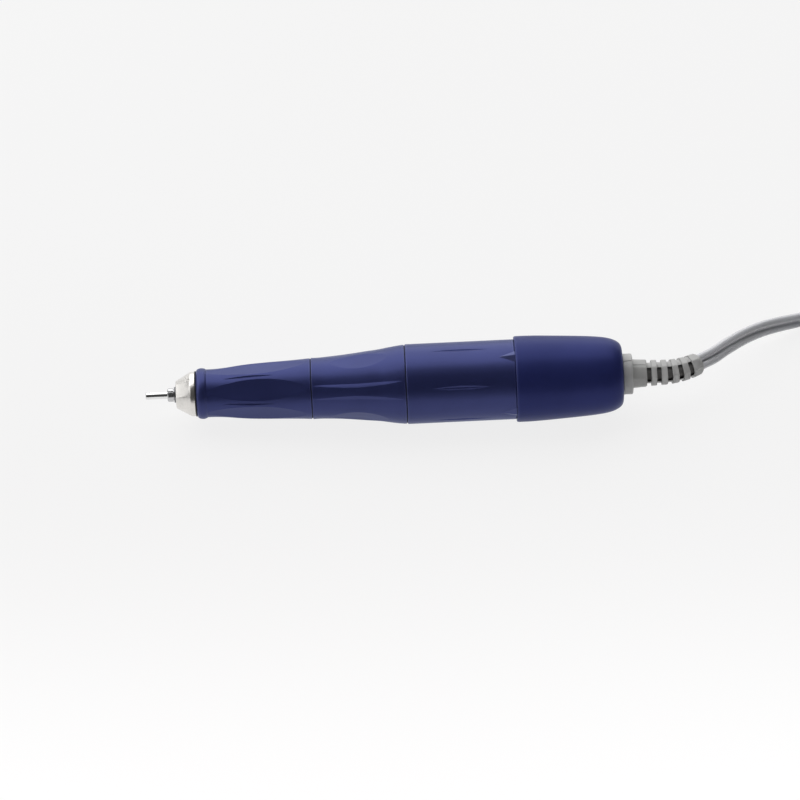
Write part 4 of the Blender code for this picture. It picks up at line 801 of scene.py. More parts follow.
@dataclass
class FrontGrip:
    """The slim blue grip with a bead, six long flats and a slim dimple between each two."""

    start: float = 6.7
    end: float = 44.29
    bore: float = 6.4
    rear_radius: float = 9.95
    bead_station: float = 8.6
    bead_radius: float = 8.34
    bead_half: float = 1.75
    bead_rings: int = 12
    bead_foot: float = 0.16
    bead_start: float = 0.22
    bead_sweep: float = 0.62
    neck_radius: float = 7.86
    front_face: Shares = ((0.0, 7.2), (0.08, 7.42), (0.3, 7.72))
    flat_start: float = 9.8
    flat_end: float = 42.8
    flat_angle: float = 44.0
    flat_half: float = 23.5
    flat_least: float = 0.6
    flats: int = 6
    edge_column: float = 0.6
    dimple_start: float = 15.4
    dimple_end: float = 32.4
    dimple_half: float = 3.0
    dimple_depth: float = 0.3
    shares: Shares = ((0.0, 0.0), (0.06, 0.0), (0.12, 0.05), (0.2, 0.16), (0.31, 0.37), (0.42, 0.53),
                       (0.53, 0.63), (0.64, 0.71), (0.77, 0.79), (0.9, 0.9), (1.0, 1.0))

    def outline(self) -> Profile:
        """Draw the outside and the bore as one closed line.

        Returns:
            Pairs of station and radius.
        """
        neck, foot = self.neck_radius, sin(pi * self.bead_foot)
        outside = [(self.start + along, radius) for along, radius in self.front_face]
        for step in range(self.bead_rings + 1):
            turn = pi * (self.bead_start + self.bead_sweep * step / self.bead_rings)
            swell = (sin(turn) - foot) / (1.0 - foot)
            outside.append((self.bead_station - self.bead_half * cos(turn),
                            neck + (self.bead_radius - neck) * swell))
        start = outside[-1][0] + 0.1
        outside += swept(self.shares, start, self.end - 0.25 - start, neck, self.rear_radius, 0.34)
        outside += rounded_end(self.end, self.rear_radius)
        return outside + [(self.end, self.bore), (self.start, self.bore)]

    def press(self, station: float, angle: float, radius: float) -> tuple[float, float]:
        """Cut the flats and the dimples.

        Args:
            station: The point's station.
            angle: Its angle in degrees.
            radius: Its radius.

        Returns:
            The point's new angle and radius.
        """
        if radius < self.bore + 0.2:
            return angle, radius
        offset = nearest(angle, self.flat_angle, self.flats)
        centre = angle - offset
        border = 180.0 / self.flats
        column = abs(offset) / border
        half = max(self.flat_least, self.flat_half * arch(station, self.flat_start, self.flat_end, 0.62))
        if column <= self.edge_column:
            away = half * column / self.edge_column
            if half > self.flat_least:
                radius *= cos(radians(half)) / cos(radians(away))
        else:
            away = half + (border - half) * (column - self.edge_column) / (1.0 - self.edge_column)
            swell = arch(station, self.dimple_start, self.dimple_end)
            reach = self.dimple_half * swell
            if border - away < reach:
                radius -= self.dimple_depth * swell * (1.0 - ((border - away) / reach) ** 2)
        return centre + copysign(away, offset), radius

    def build(self) -> None:
        """Build the grip."""
        casing("front_grip_shell", self.outline(), self.press, "handpiece", "front_grip")


@dataclass
class Washers:
    """The thin dark washers in the joints before and behind the twist collar."""

    bore: float = 6.15
    edge: float = 0.05
    joints: tuple[Place, ...] = ((44.33, 44.47, 9.76), (75.24, 75.38, 12.68))

    def build(self) -> None:
        """Build both washers."""
        rings = []
        for start, end, radius in self.joints:
            line = [(start, self.bore), (start, radius), (end, radius), (end, self.bore)]
            rings.append(soften(turned(line, 144), self.edge))
        fit(piece("joint_washers", joined(*rings), FINISHES.rubber), "handpiece", "black_rubber")


@dataclass
class TwistCollar:
    """The blue sleeve that opens the collet, with three waisted bands and three flats between them."""

    start: float = 44.51
    end: float = 75.2
    front_radius: float = 10.05
    rear_radius: float = 12.95
    lip_bore: float = 6.4
    lip_end: float = 46.6
    bore: float = 8.2
    recess: float = 11.1
    recess_start: float = 72.1
    band_angle: float = 33.0
    bands: int = 3
    band_half: float = 7.0
    band_flare: float = 18.0
    band_widening: float = 4.0
    waist_share: float = 0.48
    band_column: float = 0.2
    slope_column: float = 0.34
    slope_least: float = 0.6
    slope_growth: float = 6.0
    scoop_depth: float = 0.5
    flat_column: float = 0.62
    flat_start: float = 50.7
    flat_end: float = 69.5
    flat_half: float = 18.0
    flat_least: float = 0.5
    shares: Shares = ((0.0, 0.0), (0.1, 0.067), (0.22, 0.178), (0.34, 0.298), (0.47, 0.449), (0.6, 0.596),
                       (0.73, 0.715), (0.82, 0.849), (0.92, 0.964), (1.0, 1.0))

    def outline(self) -> Profile:
        """Draw the outside and the stepped bore as one closed line.

        Returns:
            Pairs of station and radius.
        """
        front = [(self.start, self.front_radius - 0.22), (self.start + 0.08, self.front_radius - 0.06)]
        body = swept(self.shares, self.start + 0.25, self.end - self.start - 0.5, self.front_radius,
                     self.rear_radius, 0.3)
        inside = [(self.end, self.recess), (self.recess_start, self.recess), (self.recess_start, self.bore),
                  (self.lip_end, self.bore), (self.lip_end, self.lip_bore), (self.start, self.lip_bore)]
        return front + body + rounded_end(self.end, self.rear_radius) + inside

    def press(self, station: float, angle: float, radius: float) -> tuple[float, float]:
        """Sink the surface beside each band, and cut a flat halfway between two bands.

        Args:
            station: The point's station.
            angle: Its angle in degrees.
            radius: Its radius.

        Returns:
            The point's new angle and radius.
        """
        if radius < self.recess + 0.01 and not self.outside(station, radius):
            return angle, radius
        offset = nearest(angle, self.band_angle, self.bands)
        centre = angle - offset
        border = 180.0 / self.bands
        column = abs(offset) / border
        along = (station - self.start) / (self.end - self.start)
        off_waist = along - self.waist_share
        band = self.band_half + self.band_flare * off_waist ** 2 + self.band_widening * abs(off_waist)
        swell = arch(station, self.start + 0.2, self.end - 0.9, 0.75)
        slope = self.slope_least + self.slope_growth * swell
        flat = max(self.flat_least, self.flat_half * arch(station, self.flat_start, self.flat_end, 0.6))
        sunk = self.scoop_depth * swell
        if column <= self.band_column:
            away = band * column / self.band_column
            sunk = 0.0
        elif column <= self.slope_column:
            share = (column - self.band_column) / (self.slope_column - self.band_column)
            away = band + slope * share
            sunk *= share
        elif column <= self.flat_column:
            share = (column - self.slope_column) / (self.flat_column - self.slope_column)
            away = band + slope + (border - flat - band - slope) * share
        else:
            share = (column - self.flat_column) / (1.0 - self.flat_column)
            away = border - flat * (1.0 - share)
            if flat > self.flat_least:
                radius = ((radius - sunk) * cos(radians(flat))
                          / cos(radians(border - away)))
                sunk = 0.0
        return centre + copysign(away, offset), radius - sunk

    def outside(self, station: float, radius: float) -> bool:
        """Tell whether a point belongs to the outer face."""
        along = (station - self.start) / (self.end - self.start)
        return radius > self.front_radius - 0.4 + (self.rear_radius - self.front_radius) * 0.8 * along

    def build(self) -> None:
        """Build the collar."""
        casing("twist_collar", self.outline(), self.press, "collar", "collar")


@dataclass
class MotorHousing:
    """The blue barrel round the motor, with slim dimples and four raised arrows at its rear edge."""

    start: float = 75.42
    end: float = 111.1
    front_wall: float = 78.1
    radius: float = 13.1
    bore: float = 11.9
    throat: float = 6.4
    spigot_radius: float = 12.5
    spigot_end: float = 113.3
    edge: float = 0.3
    body_rings: int = 64
    dimple_angle: float = 33.0
    dimples: int = 6
    dimple_start: float = 83.6
    dimple_end: float = 103.0
    dimple_half: float = 2.6
    dimple_depth: float = 0.28
    gather: float = 1.6
    arrows_round: int = 4
    arrow_angle: float = 76.6
    arrow_length: float = 5.3
    arrow_width: float = 4.3
    arrow_height: float = 0.95
    arrow_root: float = 0.25

    def outline(self) -> Profile:
        """Draw the outside and the bore as one closed line.

        Returns:
            Pairs of station and radius.
        """
        front = self.start + self.edge
        body = [(front + 0.2 + (self.end - 0.4 - front) * step / self.body_rings, self.radius)
                for step in range(self.body_rings + 1)]
        outside = [(self.start, self.radius - self.edge), (self.start + 0.1, self.radius - 0.1),
                   (front, self.radius)] + body
        outside += [(self.end, self.radius - 0.1), (self.end, self.spigot_radius),
                    (self.spigot_end, self.spigot_radius)]
        return outside + [(self.spigot_end, self.bore), (self.front_wall, self.bore),
                          (self.front_wall, self.throat), (self.start, self.throat)]

    def press(self, station: float, angle: float, radius: float) -> tuple[float, float]:
        """Draw the columns together at each dimple and press it in.

        Args:
            station: The point's station.
            angle: Its angle in degrees.
            radius: Its radius.

        Returns:
            The point's new angle and radius.
        """
        if radius < self.radius - 0.35:
            return angle, radius
        offset = nearest(angle, self.dimple_angle, self.dimples)
        border = 180.0 / self.dimples
        away = border * (abs(offset) / border) ** self.gather
        swell = arch(station, self.dimple_start, self.dimple_end)
        reach = self.dimple_half * swell
        if away < reach:
            radius -= self.dimple_depth * swell * (1.0 - (away / reach) ** 2)
        return angle - offset + copysign(away, offset), radius

    def arrows(self) -> Shape:
        """Build the wedges that rise to the cap's edge.

        Returns:
            The wedges as one shape.
        """
        work = bmesh.new()
        half = degrees(self.arrow_width / 2 / self.radius)
        tip, mouth, root = self.end - self.arrow_length, self.end - 0.02, self.radius - self.arrow_root
        for index in range(self.arrows_round):
            turn = self.arrow_angle + 360.0 / self.arrows_round * index
            left, right = turn - half, turn + half
            corners = [(tip, turn, self.radius + 0.01), (tip, turn, root),
                       (mouth, left, self.radius + 0.02), (mouth, right, self.radius + 0.02),
                       (mouth, left, root), (mouth, right, root),
                       (mouth, turn, self.radius + self.arrow_height)]
            points = [work.verts.new(spoke(*corner).to_translation()) for corner in corners]
            bmesh.ops.convex_hull(work, input=points)
        return work

    def build(self) -> None:
        """Build the housing."""
        casing("motor_barrel", self.outline(), self.press, "handpiece", "motor_housing", self.arrows())


@dataclass
class RearCap:
    """The blue cap at the cord end, a little prouder than the barrel, rounded over at the rear."""

    start: float = 111.25
    length: float = 35.1
    radius: float = 14.1
    wall: float = 1.3
    hole: float = 4.9
    corner_length: float = 1.6
    corner_depth: float = 2.2
    shares: Shares = ((0.0, 0.985), (0.006, 0.995), (0.016, 1.0), (0.11, 1.0), (0.22, 0.992), (0.34, 0.977),
                       (0.46, 0.961), (0.58, 0.943), (0.72, 0.918), (0.83, 0.886), (0.9, 0.846), (0.945, 0.8),
                       (0.975, 0.75), (0.992, 0.7), (1.0, 0.65))

    def build(self) -> None:
        """Build the cap."""
        outside = swept(self.shares, self.start, self.length, 0.0, self.radius, 0.4)
        end = self.start + self.length
        floor = end - self.wall
        inside = [(along, radius - self.wall) for along, radius in outside[2::4]
                  if along < floor - self.corner_length]
        inside += [(floor, inside[-1][1] - self.corner_depth), (floor, self.hole), (end, self.hole)]
        work = turned([(self.start, self.radius - self.wall)] + outside + list(reversed(inside)), 192)
        fit(piece("rear_cap_shell", work, FINISHES.cap_blue), "handpiece", "anodised_blue", "rear_cap")


@dataclass
class CordBoot:
    """The grey moulded boot: flange, base, ribs with windows between them, and its end block."""

    inner_start: float = 143.35
    inner_end: float = 144.75
    inner_radius: float = 6.2
    neck_radius: float = 4.6
    flange_start: float = 146.65
    flange_radius: float = 6.7
    base_start: float = 149.65
    base_radius: float = 4.75
    taper_start: float = 153.85
    taper_length: float = 18.4
    root_radius: float = 4.62
    tip_radius: float = 4.0
    bore: float = 3.05
    spine_radius: float = 3.4
    pitch: float = 3.3
    windows: int = 5
    window_length: float = 1.55
    window_width: float = 4.8
    window_angle: float = 27.0
    first_window: float = 154.3
    window_reach: float = 12.0
    bore_rings: int = 26
    sides: int = 8
    side_reach: float = 20.0
    seam_end: float = 14.0
    seam_size: tuple[float, float] = (0.28, 0.8)
    seam_angle: float = 79.0
    rim_seam_size: Place = (3.4, 0.3, 0.8)
    rim_seam_station: float = 1.5
    rim_seam_angle: float = 81.0
    straight: float = 5.6
    turn: float = 34.0

    def rib_radius(self, station: float) -> float:
        """Return the boot's outer radius at a station of its taper."""
        share = (station - self.taper_start) / self.taper_length
        return self.root_radius + (self.tip_radius - self.root_radius) * share

    def outline(self) -> Profile:
        """Draw the outside, grooved at each window, and the bore as one closed line.

        Returns:
            Pairs of station and radius.
        """
        neck, end = self.neck_radius, self.taper_start + self.taper_length
        line = [(self.inner_start, self.inner_radius), (self.inner_end, self.inner_radius),
                (self.inner_end, neck), (self.flange_start, neck), (self.flange_start, self.flange_radius),
                (self.base_start - 0.35, self.flange_radius), (self.base_start, self.flange_radius - 0.3),
                (self.base_start, self.base_radius), (self.first_window - 0.3, self.base_radius)]
        for index in range(self.windows):
            first = self.first_window + self.pitch * index
            last = first + self.window_length
            line += [(first - 0.1, self.rib_radius(first)), (first, self.rib_radius(first) - 0.1),
                     (first + 0.05, self.spine_radius + 0.06), (first + 0.12, self.spine_radius),
                     (last - 0.12, self.spine_radius), (last - 0.05, self.spine_radius + 0.06),
                     (last, self.rib_radius(last) - 0.1), (last + 0.1, self.rib_radius(last))]
        line += [(end - 0.9, self.rib_radius(end) - 0.05), (end - 0.25, self.rib_radius(end) - 0.55),
                 (end, self.bore + 0.25)]
        line += [(end - self.taper_length * index / self.bore_rings, self.bore)
                 for index in range(self.bore_rings + 1)]
        return line + [(self.inner_start, self.bore)]

    def square_up(self, station: float, angle: float, radius: float) -> tuple[float, float]:
        """Give the ribs and the end block soft flats.

        Args:
            station: The point's station.
            angle: Its angle in degrees.
            radius: Its radius.

        Returns:
            The point's angle, unchanged, and its new radius.
        """
        if station < self.taper_start + 0.1 or radius < self.spine_radius + 0.1:
            return angle, radius
        away = min(abs(nearest(angle, 0.0, self.sides)), self.side_reach)
        return angle, radius * cos(pi / self.sides) / cos(radians(away))

    def bend(self, work: Shape) -> Shape:
        """Carry the straight boot round its bend, towards the back of the view.

        Args:
            work: The straight boot.

        Returns:
            The same shape, bent.
        """
        start = self.taper_start + self.straight
        total = radians(self.turn)
        reach = (self.taper_start + self.taper_length - start) / total
        for vertex in work.verts:
            place = vertex.co.copy()
            beyond = place.x - start
            if beyond <= 0.0:
                continue
            turn = min(beyond / reach, total)
            rest = beyond - turn * reach
            heading = Vector((cos(turn), sin(turn), 0.0))
            side = Vector((-sin(turn), cos(turn), 0.0))
            centre = Vector((start + reach * sin(turn), reach * (1.0 - cos(turn)), 0.0))
            vertex.co = centre + heading * rest + side * place.y + Vector((0.0, 0.0, place.z))
        return work

    def build(self) -> None:
        """Build the boot with its two parting lines."""
        work = moved(turned(self.outline(), 96), self.square_up)
        size = (self.window_length, self.window_width, self.window_reach)
        middles = [self.first_window + self.window_length / 2 + self.pitch * index
                   for index in range(self.windows)]
        work = trimmed(work, blocks(size, [spoke(middle, self.window_angle) for middle in middles]))
        length = self.taper_start + self.seam_end - self.flange_start
        middle = self.flange_start + length / 2 + 0.01
        seam = blocks((length, *self.seam_size), [spoke(middle, self.seam_angle, self.base_radius)])
        rim = spoke(self.flange_start + self.rim_seam_station, self.rim_seam_angle, self.flange_radius)
        work = trimmed(trimmed(work, seam), blocks(self.rim_seam_size, [rim]))
        fit(piece("ribbed_boot", self.bend(work), FINISHES.boot), "handpiece", "grey_rubber", "cord_boot")


@dataclass
class TwinCord:
    """The flat cord of two cores: from the boot down to a tied coil, and over it to the plug."""

    width: float = 0.0055
    core_radius: float = 0.00132
    boot_exit: Place = (0.0896734, 0.0036877, 0.0156914)
    coil_centre: tuple[float, float] = (0.169, 0.0264)
    coil_radius: float = 0.037
    coil_pitch: float = 0.006
    turns_each_way: int = 3
    start_angle: float = 135.0
    loop_points: int = 24
    low: float = 0.00365
    plug_rear: Place = (0.19443, 0.04408, 0.0177)
    lead_steps: tuple[Place, ...] = (
        (5.3, 4.0, -0.5), (10.9, 10.46, -2.02), (17.8, 18.34, -4.65), (24.6, 25.12, -7.57),
        (31.3, 30.24, -10.11), (37.85, 33.9, -11.72), (41.6, 36.9, -12.0))
    tail_shares: tuple[Place, ...] = ((22.0, 1.03, 0.18), (36.0, 1.03, 0.5), (50.0, 0.99, 0.82),
                                      (66.0, 0.9, 1.0))
    route_spacing: float = 0.002
    coil_spacing: float = 0.003
    core_opening: float = 36.0
    core_sides: int = 12
    lead_length: float = 0.075
    twist_length: float = 0.15
    lean: float = 40.0
    lean_length: float = 0.055

    def on_coil(self, angle: float, radius: float, height: float) -> Vector:
        """Return the place at an angle in radians, a radius and a height on the coil."""
        return Vector((self.coil_centre[0] + radius * cos(angle),
                       self.coil_centre[1] + radius * sin(angle), height))

    def coil(self) -> list[Vector]:
        """Lay the coil's centreline, in on the lower layer and out again on the upper one.

        Returns:
            The centreline's points, in metres.
        """
        turns = 2 * self.turns_each_way
        points = []
        for step in range(turns * self.loop_points + 1):
            turn = step / self.loop_points
            radius = self.coil_radius - self.coil_pitch * min(turn, turns - turn)
            climb = min(1.0, max(0.0, 2.0 * (turn - self.turns_each_way) + 0.5))
            height = self.low + self.coil_pitch * climb * climb * (3.0 - 2.0 * climb)
            points.append(self.on_coil(radians(self.start_angle) - 2 * pi * turn, radius, height))
        return points

    def path(self) -> list[Vector]:
        """Lay the whole centreline, from the boot's exit to the plug.

        Returns:
            The centreline's points, in metres.
        """
        turn = radians(CordBoot.turn)
        heading = HANDPIECE.to_3x3() @ Vector((cos(turn), sin(turn), 0.0))
        start = Vector(self.boot_exit)
        coil = self.coil()
        into = (coil[0] - coil[1]).normalized()
        knots = [start, start + heading * self.width / 2]
        knots += [start + Vector(step) * MM for step in self.lead_steps]
        knots += [coil[0] + into * 2 * self.width, coil[0] + into * self.width]
        lead = smooth_route(knots, self.route_spacing)
        leave = (coil[-1] - coil[-2]).normalized()
        first = coil[-1] + leave * self.width
        knots = [first, first + leave * self.width / 2]
        for past, reach, rise in self.tail_shares:
            knots.append(self.on_coil(radians(self.start_angle - past), self.coil_radius * reach,
                                      first.z + (self.plug_rear[2] - first.z) * rise))
        rear, forward = Vector(self.plug_rear), Plug.forward()
        knots += [rear - forward * self.width, rear + forward * self.width]
        return lead + smooth_route(coil, self.coil_spacing) + smooth_route(knots, self.route_spacing)

    def section(self) -> Item:
        """Build the flat curve of the two cores and the web between them.

        Returns:
            The curve's object.
        """
        radius, half, points = self.core_radius, self.width / 2 - self.core_radius, []
        sweep = 360.0 - self.core_opening
        for side in (1.0, -1.0):
            for step in range(self.core_sides + 1):
                turn = radians(-sweep / 2 + sweep * step / self.core_sides)
                points.append((side * (half + radius * cos(turn)),
                               side * radius * sin(turn), 0.0))
        curve = bpy.data.curves.new("core_section", "CURVE")
        curve.dimensions = "2D"
        line = curve.splines.new("POLY")
        line.points.add(len(points) - 1)
        for point, place in zip(line.points, points):
            point.co = (*place, 1.0)
        line.use_cyclic_u = True
        return added("core_section", curve)

    def build(self, plug_pieces: Sequence[Item]) -> None:
        """Args:
            plug_pieces: The pieces of the plug and the tie, which lie on the cord. They are not used.
        """
        path = self.path()
        section = self.section()
        curve = bpy.data.curves.new("twin_cord", "CURVE")
        curve.dimensions = "3D"
        curve.twist_mode = "Z_UP"
        curve.bevel_mode = "OBJECT"
        curve.bevel_object = section
        curve.use_fill_caps = True
        line = curve.splines.new("POLY")
        line.points.add(len(path) - 1)
        run = 0.0
        for index, (point, place) in enumerate(zip(line.points, path)):
            run += (place - path[index - 1]).length if index else 0.0
            point.co = (*place, 1.0)
            lean = self.lean * max(0.0, 1.0 - run / self.lean_length)
            turns = max(0.0, run - self.lead_length) / self.twist_length
            point.tilt = radians(90.0 - lean) + 2 * pi * turns
        holder = added("twin_cord_curve", curve)
        bpy.context.view_layer.update()
        work = bmesh.new()
        shaped = holder.evaluated_get(bpy.context.evaluated_depsgraph_get())
        work.from_mesh(shaped.to_mesh())
        shaped.to_mesh_clear()
        for item in (holder, section):
            bpy.data.objects.remove(item)
        bmesh.ops.remove_doubles(work, verts=work.verts[:], dist=1e-6)
        outward(work)
        cord = piece("twin_cord", work, FINISHES.cord, Matrix.Scale(1.0 / MM, 4), 50.0)
        fit(cord, "handpiece", "grey_cord", "cord_lead", "cord_coil", "cord_tail")


@dataclass
class CoilTie:
    """The flat strap that holds the coil together."""

    inner: float = 15.65
    outer: float = 40.35
    low: float = 0.3
    high: float = 13.0
    corner: float = 1.83
    corner_sides: int = 12
    edge: float = 0.12
    width: float = 9.0
    thickness: float = 0.5
    angle: float = 235.0
    centre: tuple[float, float] = (169.0, 26.4)

    def build(self) -> Item:
        """Build the strap as one closed band.

        Returns:
            The strap's object.
        """
        corner = self.corner
        centres = [(self.outer - corner, self.low + corner), (self.outer - corner, self.high - corner),
                   (self.inner + corner, self.high - corner), (self.inner + corner, self.low + corner)]
        work = bmesh.new()
        verts = []
        for index, (across, up) in enumerate(centres):
            for step in range(self.corner_sides + 1):
                turn = radians(90.0 * (index - 1 + step / self.corner_sides))
                verts.append(work.verts.new((across + corner * cos(turn), -self.width / 2,
                                             up + corner * sin(turn))))
        edges = [work.edges.new(pair) for pair in zip(verts, verts[1:] + verts[:1])]
        made = bmesh.ops.extrude_edge_only(work, edges=edges)["geom"]
        bmesh.ops.translate(work, verts=[item for item in made if isinstance(item, bmesh.types.BMVert)],
                            vec=(0.0, self.width, 0.0))
        outward(work)
        bmesh.ops.solidify(work, geom=work.faces[:], thickness=self.thickness)
        outward(work)
        soften(work, self.edge, 50.0)
        place = (Matrix.Translation(Vector((*self.centre, 0.0)) * MM)
                 @ Matrix.Rotation(radians(self.angle), 4, "Z"))
        return fit(piece("tie_strap", work, FINISHES.strap, place, 40.0), "handpiece", "black_rubber",
                   "cord_tie")


@dataclass
class Plug:
    """The round plug: its body with finger rings, the metal shell, the insert and its pins."""

    rear: Place = (194.43, 44.08, 17.7)
    heading: float = 10.0
    taper: float = 11.0
    length: float = 26.0
    radius: float = 5.0
    taper_radius: float = 3.3
    socket_radius: float = 4.2
    socket_floor: float = 22.0
    shell_radius: float = 3.9
    shell_bore: float = 3.4
    shell_end: float = 35.3
    insert_radius: float = 3.1
    insert_end: float = 28.3
    pin_radius: float = 0.5
    pin_end: float = 33.3
    pin_circle: float = 1.9
    pins_round: int = 3
    step: float = 0.3
    bend_rings: int = 5
    bend_start: float = 1.6
    bend_pitch: float = 1.7
    grip_rings: int = 6
    grip_start: float = 1.6
    grip_pitch: float = 1.3
    keyway: Place = (5.0, 1.2, 2.0)

    @classmethod
    def forward(cls) -> Vector:
        """Return the way the plug points on the coil."""
        turn = radians(cls.heading)
        return Vector((sin(turn), -cos(turn), 0.0))

    def place(self) -> Matrix:
        """Return the plug's frame, with its X along the plug."""
        turn = Matrix.Rotation(radians(self.heading - 90.0), 4, "Z")
        return Matrix.Translation(Vector(self.rear) * MM) @ turn

    def pin_places(self, station: float) -> list[Matrix]:
        """Find the middles of the pins.

        Args:
            station: How far along the plug they are.

        Returns:
            A frame for each pin, with its Z along the plug.
        """
        lie = Matrix.Rotation(radians(90.0), 4, "Y")
        turns = (90.0 + 360.0 / self.pins_round * index for index in range(self.pins_round))
        return [Matrix.Translation(spoke(station, turn, self.pin_circle).to_translation()) @ lie
                for turn in turns]

    def body(self) -> Item:
        """Build the body, with bend rings on its taper and grip rings on its barrel.

        Returns:
            The body's object.
        """
        line = [(0.0, 0.0), (0.0, self.taper_radius - 0.3), (0.3, self.taper_radius)]
        for index in range(self.bend_rings):
            along = self.bend_start + self.bend_pitch * index
            edge = self.taper_radius + (self.radius - self.taper_radius) * along / self.taper
            line += [(along, edge), (along + 0.1, edge - 0.45), (along + 0.75, edge - 0.4),
                     (along + 0.85, edge + 0.1)]
        line += [(self.taper, self.radius - 0.05)]
        for index in range(self.grip_rings):
            along = self.taper + self.grip_start + self.grip_pitch * index
            line += [(along, self.radius), (along + 0.3, self.radius - 0.28), (along + 0.6, self.radius)]
        line += [(self.length - 0.5, self.radius), (self.length, self.radius - 0.4),
                 (self.length, self.socket_radius), (self.socket_floor, self.socket_radius),
                 (self.socket_floor, 0.0)]
        work = soften(turned(line, 96, closed=False), 0.08)
        return fit(piece("plug_moulding", work, FINISHES.plastic, self.place()), "handpiece",
                   "dark_plastic", "plug_body")

    def shell(self) -> Item:
        """Build the metal shell, with a keyway along one side.

        Returns:
            The shell's object.
        """
        start, end = self.socket_floor + self.step, self.shell_end
        line = [(start, self.shell_bore), (start, self.shell_radius), (end - 0.2, self.shell_radius),
                (end, self.shell_radius - 0.12), (end, self.shell_bore)]
        key = blocks(self.keyway, [spoke(end - 2.0, 90.0, self.shell_radius)])
        work = trimmed(turned(line, 96), key)
        return fit(piece("plug_sleeve", work, FINISHES.nickel, self.place()), "handpiece",
                   "polished_steel", "plug_shell")

    def insert(self) -> Item:
        """Build the pale insert and its pins' collars.

        Returns:
            The insert's object.
        """
        start, end = self.socket_floor + self.step, self.insert_end
        line = [(start, 0.0), (start, self.insert_radius), (end - 0.2, self.insert_radius),
                (end, self.insert_radius - 0.2), (end, 0.0)]
        collars = rods(self.pin_radius + 0.25, 0.5, self.pin_places(end + 0.05), 24, 0.06)
        work = joined(turned(line, 72, closed=False), collars)
        return fit(piece("plug_core", work, FINISHES.insert, self.place()), "handpiece",
                   "white_plastic", "plug_insert")

    def pins(self) -> Item:
        """Build the metal pins.

        Returns:
            The pins' object.
        """
        length = self.pin_end - self.socket_floor - 1.3
        work = rods(self.pin_radius, length, self.pin_places(self.pin_end - length / 2), 32, 0.15)
        return fit(piece("plug_contacts", work, FINISHES.brass, self.place()), "handpiece", "brass")

    def build(self) -> list[Item]:
        """Build and return the plug's pieces."""
        return [self.body(), self.shell(), self.insert(), self.pins()]


@dataclass(frozen=True)
class CoilSpring:
    """One coil spring of round wire with closed ends."""

    name: str
    node: str
    body: str
    joint: str
    place: Matrix
    start: float
    end: float
    radius: float
    wire: float
    turns: int
    travel: float
    fixed: float
    wire_sides: int = 10
    turn_steps: int = 24
    closed_pitch: float = 2.1

    def wind(self) -> Shape:
        """Wind the wire along Z: a closed coil, the open coils and another closed coil.

        Returns:
            The wound wire.
        """
        work = bmesh.new()
        section = (Matrix.Translation((self.radius, 0.0, self.start))
                   @ Matrix.Rotation(radians(90.0), 4, "X"))
        bmesh.ops.create_circle(work, segments=self.wire_sides, radius=self.wire, matrix=section)
        geom = work.verts[:] + work.edges[:]
        closed = self.closed_pitch * self.wire
        rises = ((1, closed), (self.turns - 2, self.end - self.start - 2 * closed), (1, closed))
        for turns, rise in rises:
            steps = turns * self.turn_steps
            geom = bmesh.ops.spin(work, geom=geom, cent=(0.0, 0.0, 0.0), axis=(0.0, 0.0, 1.0),
                                  dvec=(0.0, 0.0, rise / steps), angle=2 * pi * turns, steps=steps,
                                  use_duplicate=False)["geom_last"]
        bmesh.ops.holes_fill(work, edges=work.edges[:], sides=0)
        outward(work)
        return work

    def build(self) -> None:
        """Build the spring."""
        work = self.wind()
        bmesh.ops.transform(work, matrix=self.place, verts=work.verts[:])
        item = fit(piece(self.name, work, FINISHES.spring, crease=60.0), self.body, "steel", self.node)
        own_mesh(item)


@dataclass
class Springs:
    """The collet's return spring and the two springs that press on the brushes."""

    brush_station: float = 115.6

    def build(self) -> None:
        """Build all three springs."""
        CoilSpring("collet_return_coil", "collet_spring", "spindle", "collet_slide",
                   Matrix.Rotation(radians(90.0), 4, "Y"), start=30.526, end=53.279, radius=1.55,
                   wire=0.18, turns=9, travel=0.8, fixed=30.346).build()
        for side, angle in (("front", 0.0), ("back", 180.0)):
            CoilSpring(f"brush_coil_{side}", f"brush_spring_{side}", "handpiece", f"brush_{side}_slide",
                       spoke(self.brush_station, angle), start=7.655, end=11.646, radius=0.7,
                       wire=0.15, turns=6, travel=1.5, fixed=11.796).build()


@dataclass
class InnerWorks:
    """The finishes of the spindle gear and the motor, whose shapes come from the CAD frame."""

    def dress(self, finish: Material, *nodes: str) -> None:
        """Give CAD nodes a finish.

        Args:
            finish: The material.
            nodes: The nodes' names.
        """
        for name in nodes:
            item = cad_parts[name]
            if not item.material_slots:
                item.data.materials.append(finish)
            for holder in item.material_slots:
                holder.link = "OBJECT"
                holder.material = finish
            log.info("%s: %s", name, finish.name)

    def build(self) -> None:
        """Dress every inner piece."""
        bearings = [f"{unit}_{end}_bearing" for unit in ("spindle", "motor") for end in ("front", "rear")]
        self.dress(FINISHES.black_steel, "spindle_housing")
        self.dress(FINISHES.steel, "draw_bar", "cross_pin", "drive_dog", "drive_fork",
                   "guide_pin_top", "guide_pin_bottom", "motor_front_plate", "motor_shaft", "cord_crimp")
        for bearing in bearings:
            self.dress(FINISHES.polished, f"{bearing}_outer_ring", f"{bearing}_inner_ring")
            self.dress(FINISHES.brass, f"{bearing}_cage")
        self.dress(FINISHES.brass, "brush_holder_front", "brush_holder_back", "brush_cap_front",
                   "brush_cap_back", "cam_ring", "push_sleeve")
        self.dress(FINISHES.can, "motor_can", "armature_core")
        self.dress(FINISHES.ferrite, "magnet_front", "magnet_back")
        self.dress(FINISHES.copper, "windings", "lead_front", "lead_back")
        self.dress(FINISHES.segments, "commutator")
        self.dress(FINISHES.carbon, "brush_front", "brush_back")
        self.dress(FINISHES.bell, "rear_end_bell")
        # The dark colour on cord_inside is painted shade for the boot's windows, not a colour of its own.
        self.dress(FINISHES.painted_cord_shade, "cord_inside")


